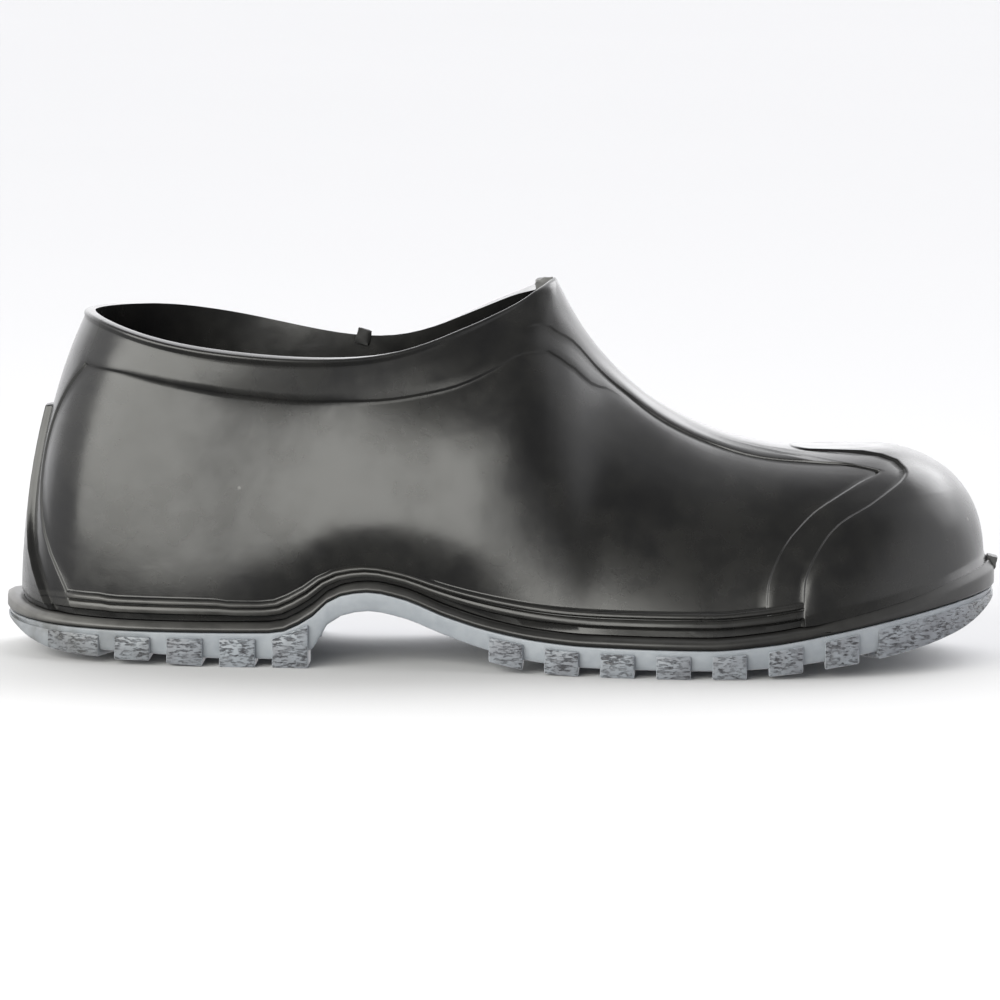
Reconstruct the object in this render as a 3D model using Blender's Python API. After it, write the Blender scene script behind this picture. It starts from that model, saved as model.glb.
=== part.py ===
"""A moulded slip-on overshoe for the right foot: black upper, black midsole, pale cleated outsole.

The shoe stands on its tread with the toe towards +X and the outer side of the foot towards -Y.
Sizes are in millimetres; x is measured forward from the back of the heel lip, z up from the floor.
"""

import math
from collections import namedtuple

import bmesh
import bpy
import numpy as np

MM = 0.001
LENGTH = 312.0
WALL = 2.0
GAP = 0.35
WELD = 1e-6
NUDGE = 1e-3
EPSILON = 1e-9

# Finish of the rubbers.
SHARP_ANGLE = math.radians(35)
BLACK = (0.012, 0.012, 0.013)
PALE = (0.30, 0.33, 0.36)
UPPER_ROUGHNESS = 0.38
MIDSOLE_ROUGHNESS = 0.42
OUTSOLE_ROUGHNESS = 0.5

# Plan of the feather line, where the upper's wall meets the midsole.
TOE_TIP = (307.0, 4.0)
HEEL_BACK = (7.5, 0.0)
COLLAR_FRONT_STATION = 5
Outline = namedtuple("Outline", "x outer inner")
FEATHER = [
    Outline(x=299.0, outer=20.0, inner=25.5),
    Outline(x=281.0, outer=37.0, inner=40.0),
    Outline(x=250.0, outer=49.0, inner=49.5),
    Outline(x=210.0, outer=53.0, inner=51.0),
    Outline(x=172.0, outer=47.5, inner=43.0),
    Outline(x=122.0, outer=40.5, inner=35.5),
    Outline(x=72.0, outer=38.5, inner=37.0),
    Outline(x=36.0, outer=35.5, inner=35.5),
    Outline(x=15.0, outer=23.0, inner=23.0),
]

# The top line of the vamp, and how round each section is: 1 is an ellipse, more is a tent, less is a box.
Section = namedtuple("Section", "x top tent")
SECTIONS = [
    Section(x=172.0, top=118.0, tent=1.10),
    Section(x=180.0, top=103.6, tent=1.28),
    Section(x=190.0, top=91.7, tent=1.39),
    Section(x=200.0, top=82.8, tent=1.38),
    Section(x=212.0, top=75.5, tent=1.30),
    Section(x=226.0, top=69.8, tent=1.20),
    Section(x=240.0, top=66.8, tent=1.09),
    Section(x=254.0, top=65.8, tent=0.96),
    Section(x=268.0, top=66.2, tent=0.85),
]
TENT_QUARTER = 1.05
RIDGE_ROUNDING = 0.15
TOE_CROWN_X = 268.0
CROWN_REACH = 0.5
TOE_FAN_START = 236.0
HEEL_AXIS_X = 56.0
HEEL_FAN_START = 96.0

# The collar: an egg-shaped opening, with its height on either side.
COLLAR_BACK_X = 26.0
COLLAR_FRONT_X = 172.0
COLLAR_EGG_BACK = 0.62
COLLAR_EGG_FRONT = 0.345
Collar = namedtuple("Collar", "x outer inner")
COLLAR = [
    Collar(x=26.0, outer=107.2, inner=107.2),
    Collar(x=45.0, outer=101.4, inner=106.4),
    Collar(x=75.0, outer=96.4, inner=102.0),
    Collar(x=103.0, outer=94.6, inner=96.8),
    Collar(x=125.0, outer=96.4, inner=97.2),
    Collar(x=145.0, outer=103.0, inner=104.6),
    Collar(x=160.0, outer=110.4, inner=112.2),
    Collar(x=172.0, outer=118.0, inner=118.0),
]
COLLAR_SHIFT_START = 85.0
SPINE_SWING = 3.0

# How far the sides swell out of their plain sections, at a third of the height and halfway up.
Swell = namedtuple("Swell", "x low half")
SWELL = [
    Swell(x=8.0, low=2.2, half=0.0),
    Swell(x=40.0, low=1.4, half=-1.5),
    Swell(x=75.0, low=2.0, half=-2.1),
    Swell(x=105.0, low=2.0, half=-1.1),
    Swell(x=131.0, low=1.6, half=0.1),
    Swell(x=150.0, low=1.4, half=1.1),
    Swell(x=167.0, low=-0.7, half=0.3),
    Swell(x=185.0, low=-2.4, half=-0.5),
    Swell(x=210.0, low=-2.3, half=-0.5),
    Swell(x=250.0, low=-1.7, half=-0.4),
    Swell(x=290.0, low=0.0, half=0.0),
]
LOW_SWELL_SCALE = 27 / 4
HALF_SWELL_SCALE = 16

# The vamp and the quarter run softly into each other below the front of the collar.
SOFT_SPREAD = 0.42
SOFT_SAMPLES = 15
SOFT_REACH = 0.6
SOFT_FADE = (0.72, 0.97)

# Heights of the sole along its length: tread, underside between the lugs, top of the pale outsole,
# top of the midsole, and how far the moulded ribs of the upper climb above that.
Sole = namedtuple("Sole", "x tread base rand welt ribs")
SOLE = [
    Sole(x=0.0, tread=8.0, base=9.0, rand=13.0, welt=19.2, ribs=7.8),
    Sole(x=9.0, tread=4.0, base=5.0, rand=11.8, welt=16.0, ribs=7.8),
    Sole(x=24.0, tread=2.6, base=4.2, rand=10.9, welt=14.2, ribs=7.8),
    Sole(x=44.0, tread=1.6, base=3.8, rand=10.6, welt=13.7, ribs=7.8),
    Sole(x=64.0, tread=0.3, base=2.6, rand=10.5, welt=13.6, ribs=7.6),
    Sole(x=70.0, tread=0.0, base=2.4, rand=10.5, welt=13.6, ribs=7.4),
    Sole(x=87.0, tread=0.0, base=2.4, rand=10.7, welt=13.8, ribs=6.8),
    Sole(x=98.0, tread=0.0, base=4.6, rand=15.2, welt=18.6, ribs=6.2),
    Sole(x=103.5, tread=10.0, base=13.2, rand=20.4, welt=23.4, ribs=5.6),
    Sole(x=110.0, tread=16.6, base=17.0, rand=23.3, welt=26.2, ribs=5.3),
    Sole(x=117.0, tread=17.7, base=18.0, rand=24.0, welt=27.0, ribs=5.2),
    Sole(x=127.0, tread=15.6, base=16.2, rand=22.2, welt=25.3, ribs=5.4),
    Sole(x=141.0, tread=9.0, base=11.0, rand=16.9, welt=20.1, ribs=6.4),
    Sole(x=155.0, tread=3.4, base=6.6, rand=12.9, welt=16.1, ribs=7.0),
    Sole(x=170.0, tread=0.8, base=3.6, rand=10.3, welt=13.6, ribs=7.2),
    Sole(x=185.0, tread=0.0, base=2.5, rand=9.2, welt=12.6, ribs=7.4),
    Sole(x=222.0, tread=0.0, base=2.4, rand=8.8, welt=12.4, ribs=7.6),
    Sole(x=240.0, tread=0.9, base=3.1, rand=10.2, welt=13.9, ribs=7.6),
    Sole(x=262.0, tread=3.4, base=5.6, rand=13.8, welt=17.9, ribs=7.6),
    Sole(x=284.0, tread=7.2, base=9.4, rand=18.0, welt=23.2, ribs=7.6),
    Sole(x=300.0, tread=11.8, base=13.6, rand=21.0, welt=28.2, ribs=7.6),
    Sole(x=306.0, tread=14.8, base=16.2, rand=22.0, welt=29.9, ribs=7.6),
    Sole(x=312.0, tread=19.4, base=20.4, rand=23.0, welt=31.6, ribs=7.6),
]
FLANGE_SIDE = 3.8
FLANGE_TOE = 5.0
FLANGE_HEEL = 7.5


def spline(knots, values, at, periodic=False):
    """Cubic spline through the values, with zero curvature at open ends."""
    knots = np.asarray(knots, float)
    values = np.asarray(values, float)
    at = np.asarray(at, float)
    count = len(knots)
    step = np.diff(knots)
    slope = np.diff(values) / step
    matrix = np.zeros((count, count))
    right = np.zeros(count)
    for i in range(1, count - 1):
        matrix[i, i - 1 : i + 2] = step[i - 1], 2 * (step[i - 1] + step[i]), step[i]
        right[i] = 6 * (slope[i] - slope[i - 1])
    matrix[0, 0] = matrix[-1, -1] = 1.0
    if periodic:
        matrix[0, -1] = -1.0
        matrix[-1, [0, 1]] = 2 * step[0], step[0]
        matrix[-1, [-2, -1]] = step[-1], 2 * step[-1]
        right[-1] = 6 * (slope[0] - slope[-1])
    bend = np.linalg.solve(matrix, right)
    i = np.clip(np.searchsorted(knots, at, "right") - 1, 0, count - 2)
    ahead = knots[i + 1] - at
    past = at - knots[i]
    h = step[i]
    return (
        (bend[i] * ahead**3 + bend[i + 1] * past**3) / (6 * h)
        + (values[i] / h - bend[i] * h / 6) * ahead
        + (values[i + 1] / h - bend[i + 1] * h / 6) * past
    )


def along(table, column, x):
    """A column of a table, read smoothly at x in its first column and held level past either end."""
    knots = [row[0] for row in table]
    values = [getattr(row, column) for row in table]
    return spline(knots, values, np.clip(x, knots[0], knots[-1]))


def calm(table, column, x):
    """A column of a table, read from a curve that never passes beyond the two rows it lies between."""
    knots = np.array([row[0] for row in table])
    values = np.array([getattr(row, column) for row in table])
    slope = np.diff(values) / np.diff(knots)
    before, after = slope[:-1], slope[1:]
    agree = before * after > 0
    tangent = np.zeros_like(values)
    tangent[1:-1][agree] = 2 * before[agree] * after[agree] / (before[agree] + after[agree])
    tangent[0], tangent[-1] = slope[0], slope[-1]
    x = np.clip(x, knots[0], knots[-1])
    i = np.clip(np.searchsorted(knots, x, "right") - 1, 0, len(knots) - 2)
    h = knots[i + 1] - knots[i]
    t = (x - knots[i]) / h
    return (
        values[i] * (1 + 2 * t) * (1 - t) ** 2
        + tangent[i] * h * t * (1 - t) ** 2
        + values[i + 1] * t**2 * (3 - 2 * t)
        + tangent[i + 1] * h * t**2 * (t - 1)
    )


def level(column, x):
    """A height of the sole at x."""
    return calm(SOLE, column, x)


def ease(value, low, high):
    """0 below low, 1 above high, and a soft step between."""
    t = np.clip((value - low) / (high - low), 0, 1)
    return t**2 * (3 - 2 * t)


# Stations run round the feather line: 0 toe tip, 5 collar front, 10 heel back, 20 toe tip again.
HALF_TURN = len(FEATHER) + 1
FULL_TURN = 2 * HALF_TURN
OUTER_SIDE = [(row.x, -row.outer) for row in FEATHER]
INNER_SIDE = [(row.x, row.inner) for row in reversed(FEATHER)]
RING_X, RING_Y = zip(TOE_TIP, *OUTER_SIDE, HEEL_BACK, *INNER_SIDE, TOE_TIP)


def ring_lengths():
    """Distance round the feather line at each station, the same on both sides."""
    steps = np.hypot(np.diff(RING_X), np.diff(RING_Y))
    even = (steps + steps[::-1]) / 2
    return np.concatenate([[0.0], np.cumsum(even)])


RING_LENGTHS = ring_lengths()


def feather(station):
    """Plan point of the feather line."""
    distance = np.interp(station, np.arange(FULL_TURN + 1), RING_LENGTHS)
    return (
        spline(RING_LENGTHS, RING_X, distance, periodic=True),
        spline(RING_LENGTHS, RING_Y, distance, periodic=True),
    )


def spine_x(x):
    """Where the section at a feather point meets the centre line; sections fan out at heel and toe."""
    toe_reach = 2 * (TOE_CROWN_X - TOE_FAN_START)
    toe = np.clip((x - TOE_FAN_START) / toe_reach, 0, 1)
    heel_reach = 2 * (HEEL_FAN_START - HEEL_AXIS_X)
    heel = np.clip((HEEL_FAN_START - x) / heel_reach, 0, 1)
    middle = np.clip(x, HEEL_FAN_START, TOE_FAN_START)
    return middle + toe_reach * (toe - toe**2 / 2) - heel_reach * (heel - heel**2 / 2)


def spine_y(x):
    """The centre line swings a little to the inner side towards the toe."""
    swing = np.clip((x - HEEL_AXIS_X) / (TOE_CROWN_X - HEEL_AXIS_X), 0, 1)
    return SPINE_SWING * swing**2


def welt_height(x):
    return level("welt", x)


def collar_point(station, x):
    """Plan and height of the collar edge over a feather point at x."""
    back = np.clip((COLLAR_SHIFT_START - x) / (COLLAR_SHIFT_START - HEEL_BACK[0]), 0, 1)
    edge_x = np.minimum(x + (COLLAR_BACK_X - HEEL_BACK[0]) * back**2, COLLAR_FRONT_X)
    behind = np.maximum(edge_x - COLLAR_BACK_X, 0)
    ahead = np.maximum(COLLAR_FRONT_X - edge_x, 0)
    share = ahead / (COLLAR_FRONT_X - COLLAR_BACK_X)
    egg = COLLAR_EGG_FRONT + (COLLAR_EGG_BACK - COLLAR_EGG_FRONT) * share**2
    side = np.where(station < HALF_TURN, -1.0, 1.0)
    edge_y = spine_y(edge_x) + side * egg * np.sqrt(behind * ahead)
    height = np.where(side < 0, along(COLLAR, "outer", edge_x), along(COLLAR, "inner", edge_x))
    return edge_x, edge_y, height


def arch_rise(across, tent):
    """Height of a section, 0 to 1, at a share of its half width."""
    power = 2 / tent
    share = np.sqrt((across**2 + RIDGE_ROUNDING**2) / (1 + RIDGE_ROUNDING**2))
    crown = RIDGE_ROUNDING / math.sqrt(1 + RIDGE_ROUNDING**2)
    return ((1 - share**power) / (1 - crown**power)) ** (1 / power)


def section_point(station, up):
    """A point of the vamp's and the quarter's sections, before they are softened into each other."""
    x, y = feather(station)
    base = welt_height(x) + GAP
    axis_x = spine_x(x)
    axis_y = spine_y(axis_x)
    opened = (station > COLLAR_FRONT_STATION) & (station < FULL_TURN - COLLAR_FRONT_STATION)
    edge_x, edge_y, edge_z = collar_point(station, x)
    top_x = np.where(opened, edge_x, axis_x)
    top_y = np.where(opened, edge_y, axis_y)
    top_z = np.where(opened, edge_z, along(SECTIONS, "top", axis_x))
    blend = np.clip((COLLAR_FRONT_X - axis_x) / (COLLAR_FRONT_X - HEEL_FAN_START), 0, 1)
    tent = along(SECTIONS, "tent", axis_x) * (1 - blend) + TENT_QUARTER * blend
    reach = np.hypot(x - axis_x, y - axis_y)
    narrow = np.where(opened, np.hypot(top_x - axis_x, top_y - axis_y) / reach, 0.0)
    turn = np.arccos(np.clip(narrow, 0, 1) ** (1 / tent))
    across = np.clip(np.cos(up * turn), 0, 1) ** tent
    lean = (1 - across) / (1 - narrow)
    rise = arch_rise(across, tent) / arch_rise(narrow, tent)
    out_x, out_y = (x - axis_x) / reach, (y - axis_y) / reach
    low = calm(SWELL, "low", x) * LOW_SWELL_SCALE * up * (1 - up) ** 2
    half = calm(SWELL, "half", x) * HALF_SWELL_SCALE * up**2 * (1 - up) ** 2
    bulge = out_y**2 * (low + half)
    return np.stack(
        [
            x + (top_x - x) * lean + out_x * bulge,
            y + (top_y - y) * lean + out_y * bulge,
            base + (top_z - base) * rise,
        ],
        axis=-1,
    )


def last_point(station, up):
    """A point of the plain outer surface: station round the shoe, up from 0 at the feather to 1 on top."""
    station = np.asarray(station, float)
    up = np.asarray(up, float)
    from_front = np.minimum(station, FULL_TURN - station) - COLLAR_FRONT_STATION
    window = np.exp(-((from_front / SOFT_REACH) ** 2)) * (1 - ease(up, *SOFT_FADE))
    offsets = np.linspace(-1, 1, SOFT_SAMPLES + 2)[1:-1]
    shares = (1 - offsets**2) ** 2
    shares /= shares.sum()
    samples = [section_point(station + offset * SOFT_SPREAD * window, up) for offset in offsets]
    return sum(share * sample for share, sample in zip(shares, samples))


def last_normal(station, up):
    """Outward direction of the plain surface."""
    inside = np.clip(up, 2 * NUDGE, 1 - 2 * NUDGE)
    around = last_point(station + NUDGE, inside) - last_point(station - NUDGE, inside)
    upward = last_point(station, inside + NUDGE) - last_point(station, inside - NUDGE)
    normal = np.cross(upward, around)
    return normal / np.linalg.norm(normal, axis=-1, keepdims=True)


# Feature lines of the upper, as the station each one has reached at a share of the height: the back
# edges of the toe cap and of the band behind it, the edge of the back stay, and of the rib down the heel.
Lines = namedtuple("Lines", "up cap band stay rib")
LINES = [
    Lines(up=0.00, cap=2.97, band=3.26, stay=8.50, rib=8.84),
    Lines(up=0.10, cap=2.96, band=3.25, stay=8.67, rib=9.12),
    Lines(up=0.20, cap=2.92, band=3.23, stay=8.98, rib=9.46),
    Lines(up=0.30, cap=2.78, band=3.15, stay=9.27, rib=9.66),
    Lines(up=0.40, cap=2.48, band=2.99, stay=9.46, rib=9.79),
    Lines(up=0.50, cap=1.98, band=2.67, stay=9.54, rib=9.87),
    Lines(up=0.60, cap=1.49, band=2.25, stay=9.44, rib=9.90),
    Lines(up=0.66, cap=1.40, band=1.96, stay=9.32, rib=9.90),
    Lines(up=0.72, cap=1.46, band=2.18, stay=9.16, rib=9.90),
    Lines(up=0.78, cap=1.63, band=2.52, stay=8.99, rib=9.90),
    Lines(up=0.84, cap=2.04, band=2.90, stay=8.86, rib=9.90),
    Lines(up=0.89, cap=2.90, band=3.30, stay=8.84, rib=9.90),
    Lines(up=1.00, cap=3.06, band=3.46, stay=8.80, rib=9.90),
]

# Lower edge of the collar band; ahead of the collar it dips as a crescent, then edges the instep strip.
Edge = namedtuple("Edge", "station up")
BAND_EDGE = [
    Edge(station=0.00, up=0.560),
    Edge(station=1.95, up=0.660),
    Edge(station=2.14, up=0.720),
    Edge(station=2.55, up=0.758),
    Edge(station=2.96, up=0.780),
    Edge(station=3.33, up=0.782),
    Edge(station=3.68, up=0.796),
    Edge(station=4.05, up=0.797),
    Edge(station=4.34, up=0.795),
    Edge(station=4.54, up=0.742),
    Edge(station=4.62, up=0.712),
    Edge(station=4.73, up=0.685),
    Edge(station=4.84, up=0.682),
    Edge(station=4.95, up=0.700),
    Edge(station=5.09, up=0.725),
    Edge(station=5.26, up=0.755),
    Edge(station=5.54, up=0.763),
    Edge(station=5.79, up=0.776),
    Edge(station=6.06, up=0.787),
    Edge(station=6.35, up=0.810),
    Edge(station=6.64, up=0.834),
    Edge(station=6.93, up=0.845),
    Edge(station=7.45, up=0.850),
    Edge(station=7.98, up=0.845),
    Edge(station=8.89, up=0.820),
    Edge(station=10.00, up=0.820),
]

# Steps in the wall.
BAND_STEP = 0.8
CAP_STEP = 0.9
RIB_STEP = 2.3
FLARE_STEP = 1.2
Moulding = namedtuple("Moulding", "share step")
MOULDINGS = [
    Moulding(share=0.30, step=0.0),
    Moulding(share=0.335, step=1.6),
    Moulding(share=0.63, step=1.6),
    Moulding(share=0.675, step=0.5),
    Moulding(share=0.72, step=1.3),
    Moulding(share=0.95, step=1.3),
    Moulding(share=1.00, step=0.0),
]

# Lanes number the feature lines round one side: toe tip, cap, band, collar front, stay, rib, heel back.
TIP, CAP, BAND, FRONT, STAY, RIB, BACK = range(7)
LANE_COLUMNS = {TIP: 8, CAP: 2, BAND: 9, FRONT: 15, STAY: 3, RIB: 3}
FRONT_CROWDING = 1.5
STEP_SHARE = {CAP: 0.008, BAND: 0.008, STAY: 0.006, RIB: 0.02}
EDGE_WIDTH = 0.006
EDGE_START = 0.78
EDGE_ROUNDS = 12
FINE_STEPS = 81
BODY_SHARES = [0.15, 0.30, 0.45, 0.60, 0.725, 0.75, 0.88]
RIB_TOP_SHARE = 0.73
TOP_SHARES = [0.45, 1.0]


def lane_list():
    """Lanes of the columns on one side, close together at each step."""
    lanes = []
    for start, count in LANE_COLUMNS.items():
        for i in range(count):
            share = i / count
            if start == BAND:
                share = 1 - (1 - share) ** FRONT_CROWDING
            if start == FRONT:
                share = share**FRONT_CROWDING
            if i or start in (TIP, FRONT):
                lanes.append(start + share)
        if start + 1 in STEP_SHARE:
            lanes += [start + 1 - STEP_SHARE[start + 1], start + 1 + STEP_SHARE[start + 1]]
    return np.array(lanes + [float(BACK)])


def lane_station(lane, up):
    """Station of a lane at a share of the height."""
    marks = np.empty((BACK + 1, *np.shape(up)))
    marks[TIP] = 0.0
    marks[CAP] = calm(LINES, "cap", up)
    marks[BAND] = calm(LINES, "band", up)
    marks[FRONT] = COLLAR_FRONT_STATION
    marks[STAY] = calm(LINES, "stay", up)
    marks[RIB] = calm(LINES, "rib", up)
    marks[BACK] = HALF_TURN
    low = np.minimum(np.floor(lane).astype(int), BACK - 1)
    here = np.take_along_axis(marks, low[None], 0)[0]
    ahead = np.take_along_axis(marks, low[None] + 1, 0)[0]
    return here + (ahead - here) * (lane - low)


def lane_ups(lane):
    """Heights of the rows along one lane: mouldings over the feather, the body, the band edge and the top."""
    fine = np.linspace(0, 1, FINE_STEPS)
    points = last_point(lane_station(np.full_like(fine, lane), fine), fine)
    length = np.concatenate([[0], np.cumsum(np.linalg.norm(np.diff(points, axis=0), axis=1))])
    ribs = float(level("ribs", points[0, 0]))
    low = np.interp([row.share * ribs for row in MOULDINGS], length, fine)
    edge = EDGE_START
    for _ in range(EDGE_ROUNDS):
        edge = float(calm(BAND_EDGE, "up", lane_station(np.array([lane]), np.array([edge])))[0])
    body = low[-1] + (edge - low[-1]) * np.array(BODY_SHARES)
    top = edge + (1 - edge) * np.array(TOP_SHARES)
    return np.concatenate([[0], low, body, [edge - EDGE_WIDTH, edge + EDGE_WIDTH], top])


MOULDING_ROWS = len(MOULDINGS)
BAND_ROW = 1 + MOULDING_ROWS + len(BODY_SHARES) + 1
RIB_TOP_ROW = MOULDING_ROWS + sum(share < RIB_TOP_SHARE for share in BODY_SHARES)


def wall_step(lane, row):
    """How far the wall stands out from the plain last at a column and row."""
    step = 0.0
    if lane < BAND or lane > STAY or row >= BAND_ROW:
        step += BAND_STEP
    if lane < CAP:
        step += CAP_STEP
        if row == 0:
            step += FLARE_STEP
    elif lane < STAY and 0 < row <= MOULDING_ROWS:
        step = max(step, MOULDINGS[row - 1].step)
    if lane > RIB and row <= RIB_TOP_ROW:
        step += RIB_STEP
    return step


def upper_grid():
    """Outer and inner points of the whole upper, column by column from the toe tip round to it again."""
    lanes = lane_list()
    ups = np.array([lane_ups(lane) for lane in lanes])
    steps = np.array([[wall_step(lane, row) for row in range(ups.shape[1])] for lane in lanes])
    stations = lane_station(np.repeat(lanes[:, None], ups.shape[1], 1), ups)
    stations = np.concatenate([stations, FULL_TURN - stations[-2::-1]])
    ups = np.concatenate([ups, ups[-2::-1]])
    steps = np.concatenate([steps, steps[-2::-1]])
    points = last_point(stations, ups)
    normals = last_normal(stations, ups)
    from_heel = np.abs(stations - HALF_TURN)
    shut = (ups > 1 - EPSILON) & (from_heel >= HALF_TURN - COLLAR_FRONT_STATION - EPSILON)
    normals[shut, 1] = 0.0
    normals[[0, -1], :, 1] = 0.0
    normals[shut & (np.abs(points[..., 0] - TOE_CROWN_X) < CROWN_REACH)] = 0.0, 0.0, 1.0
    normals /= np.linalg.norm(normals, axis=-1, keepdims=True)
    outer = points + normals * steps[..., None]
    inner = points - normals * WALL
    for skin in (outer, inner):
        skin[:, 0, 2] = welt_height(skin[:, 0, 0]) + GAP
    return outer, inner


def add_sheet(bm, points):
    """Lay a flat grid on an array of points, columns by rows, and return its vertices in the same order."""
    columns, rows = points.shape[:2]
    made = bmesh.ops.create_grid(bm, x_segments=columns - 1, y_segments=rows - 1, size=1.0)["verts"]
    sheet = [[None] * rows for _ in range(columns)]
    for vert in made:
        column = round((vert.co.x + 1) / 2 * (columns - 1))
        row = round((vert.co.y + 1) / 2 * (rows - 1))
        sheet[column][row] = vert
        vert.co = points[column, row] * MM
    return sheet


def edges_between(bm, verts):
    chosen = set(verts)
    return [e for e in bm.edges if e.verts[0] in chosen and e.verts[1] in chosen and e.is_boundary]


def home():
    """Place of every piece: the middle of the sole's plan comes to the origin."""
    rim_y = sole_edge(np.linspace(0, FULL_TURN, RIM_STEPS), -CLEAT_PROUD)[1]
    return -LENGTH / 2 * MM, -(rim_y.min() + rim_y.max()) / 2 * MM, 0.0


def make_object(name, bm, material, collection):
    bmesh.ops.recalc_face_normals(bm, faces=bm.faces)
    mesh = bpy.data.meshes.new(name)
    bm.to_mesh(mesh)
    bm.free()
    mesh.materials.append(material)
    mesh.shade_smooth()
    mesh.set_sharp_from_angle(angle=SHARP_ANGLE)
    obj = bpy.data.objects.new(name, mesh)
    collection.objects.link(obj)
    obj.location = home()
    return obj


def build_upper(material, collection):
    """The moulded upper: an outer and an inner skin joined round the feather line and the collar."""
    outer_points, inner_points = upper_grid()
    bm = bmesh.new()
    outer = add_sheet(bm, outer_points)
    inner = add_sheet(bm, inner_points)
    feather_rim = [column[0] for column in outer] + [column[0] for column in inner]
    collar_rim = [column[-1] for column in outer] + [column[-1] for column in inner]
    half = len(outer) // 2
    open_start = int(np.searchsorted(lane_list(), FRONT))
    rows = range(len(outer[0]))
    weld = {outer[-1][row]: outer[0][row] for row in rows}
    weld.update({inner[-1][row]: inner[0][row] for row in rows})
    for column in range(1, open_start + 1):
        for skin in (outer, inner):
            weld[skin[2 * half - column][-1]] = skin[column][-1]
    bmesh.ops.weld_verts(bm, targetmap=weld)
    bmesh.ops.remove_doubles(bm, verts=bm.verts, dist=WELD)
    for rim in (feather_rim, collar_rim):
        bmesh.ops.bridge_loops(bm, edges=edges_between(bm, [v for v in rim if v.is_valid]))
    return make_object("upper", bm, material, collection)


# Plan of the sole: the feather line grown outwards by the flange.
SOLE_RINGS = [0.0, 0.45, 0.85, 1.0]
RAND_INSET = 0.6
BASE_INSET = 1.8
TOE_SLOPE_INSET = 1.3
TOE_SLOPE_DROP = 2.9
TOE_SLOPE_STATIONS = (2.6, 3.0)
RIM_STEPS = 400


def sole_edge(station, inset):
    """Plan of the sole's rim, drawn in by an inset."""
    x, y = feather(station)
    ahead = feather((station + NUDGE) % FULL_TURN)
    behind = feather((station - NUDGE) % FULL_TURN)
    dx, dy = ahead[0] - behind[0], ahead[1] - behind[1]
    length = np.hypot(dx, dy)
    toe = np.clip((x - FEATHER[1].x) / (TOE_TIP[0] - FEATHER[1].x), 0, 1) ** 2
    heel = np.clip((FEATHER[-2].x - x) / (FEATHER[-2].x - HEEL_BACK[0]), 0, 1) ** 2
    flange = FLANGE_SIDE + (FLANGE_TOE - FLANGE_SIDE) * toe + (FLANGE_HEEL - FLANGE_SIDE) * heel - inset
    return x - dy / length * flange, y + dx / length * flange


def sole_stations():
    """Stations of the columns round the sole, under those of the upper."""
    lanes = lane_list()
    stations = lane_station(lanes, np.zeros_like(lanes))
    return np.concatenate([stations, FULL_TURN - stations[-2::-1]])


def sole_skin(insets, column, lift):
    """One face of a sole layer: rings from the spine to the feather line, then out to the rim."""
    stations = sole_stations()
    x, y = feather(stations)
    middle = spine_x(x)
    rings = np.array(SOLE_RINGS)
    rims = [sole_edge(stations, inset) for inset in insets]
    ring_x = middle[:, None] + (x - middle)[:, None] * rings
    ring_y = spine_y(middle)[:, None] * (1 - rings) + y[:, None] * rings
    px = np.column_stack([ring_x, *(rim_x for rim_x, _ in rims)])
    py = np.column_stack([ring_y, *(rim_y for _, rim_y in rims)])
    return np.stack([px, py, level(column, px) + lift], axis=-1)


def build_sole_layer(name, top, bottom, material, collection):
    """A closed slab between two faces."""
    bm = bmesh.new()
    skins = [add_sheet(bm, top), add_sheet(bm, bottom)]
    rims = [[column[-1] for column in skin] for skin in skins]
    half = len(top) // 2
    weld = {}
    for skin in skins:
        weld.update({skin[-1][row]: skin[0][row] for row in range(len(skin[0]))})
        weld.update({skin[2 * half - column][0]: skin[column][0] for column in range(1, half)})
    bmesh.ops.weld_verts(bm, targetmap=weld)
    bmesh.ops.remove_doubles(bm, verts=bm.verts, dist=WELD)
    rim = [v for skin_rim in rims for v in skin_rim if v.is_valid]
    bmesh.ops.bridge_loops(bm, edges=edges_between(bm, rim))
    return make_object(name, bm, material, collection)


def build_midsole(material, collection):
    """The black midsole closes the upper underneath, and its rim shows as a flange round the shoe."""
    top = sole_skin([TOE_SLOPE_INSET, 0.0], "welt", 0.0)
    stations = sole_stations()
    from_tip = np.minimum(stations, FULL_TURN - stations)
    top[:, -1, 2] -= TOE_SLOPE_DROP * (1 - ease(from_tip, *TOE_SLOPE_STATIONS))
    return build_sole_layer("midsole", top, sole_skin([0.0], "rand", GAP), material, collection)


# Lugs of the outsole: two rows of cleats along the edges, one lug wrapped round the heel and one round
# the toe, and bars across the middle.
Cleats = namedtuple("Cleats", "first pitch count length")
HEEL_CLEATS = Cleats(first=43.05, pitch=16.45, count=4, length=11.2)
BALL_CLEATS = Cleats(first=159.6, pitch=17.3, count=7, length=10.6)
CLEAT_DEPTH = 14.0
CLEAT_PROUD = 0.5
CLEAT_TOP_DROP = 1.6
FLAT_SLOPE = 0.6
BAR_WIDTH = 6.5
BAR_REACH = 0.42
BAR_BITE = 3.0
TOE_LUG_X = 275.0
HEEL_LUG_X = 32.2
WRAP_INSET = 0.3
WRAP_COLUMNS = 21


def edge_at(x, side, inset):
    """Distance of the sole's rim from the centre line at x, on the outer (-1) or inner (+1) side."""
    share = np.linspace(0, HALF_TURN, RIM_STEPS)
    stations = share if side < 0 else FULL_TURN - share
    rim_x, rim_y = sole_edge(stations, inset)
    return float(np.interp(x, rim_x[::-1], rim_y[::-1]))


def rim_station(x):
    """Station at which the wrapped lugs' faces pass x on the outer side."""
    share = np.linspace(0, HALF_TURN, RIM_STEPS)
    rim_x, _ = sole_edge(share, WRAP_INSET)
    return float(np.interp(-x, -rim_x, share))


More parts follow.
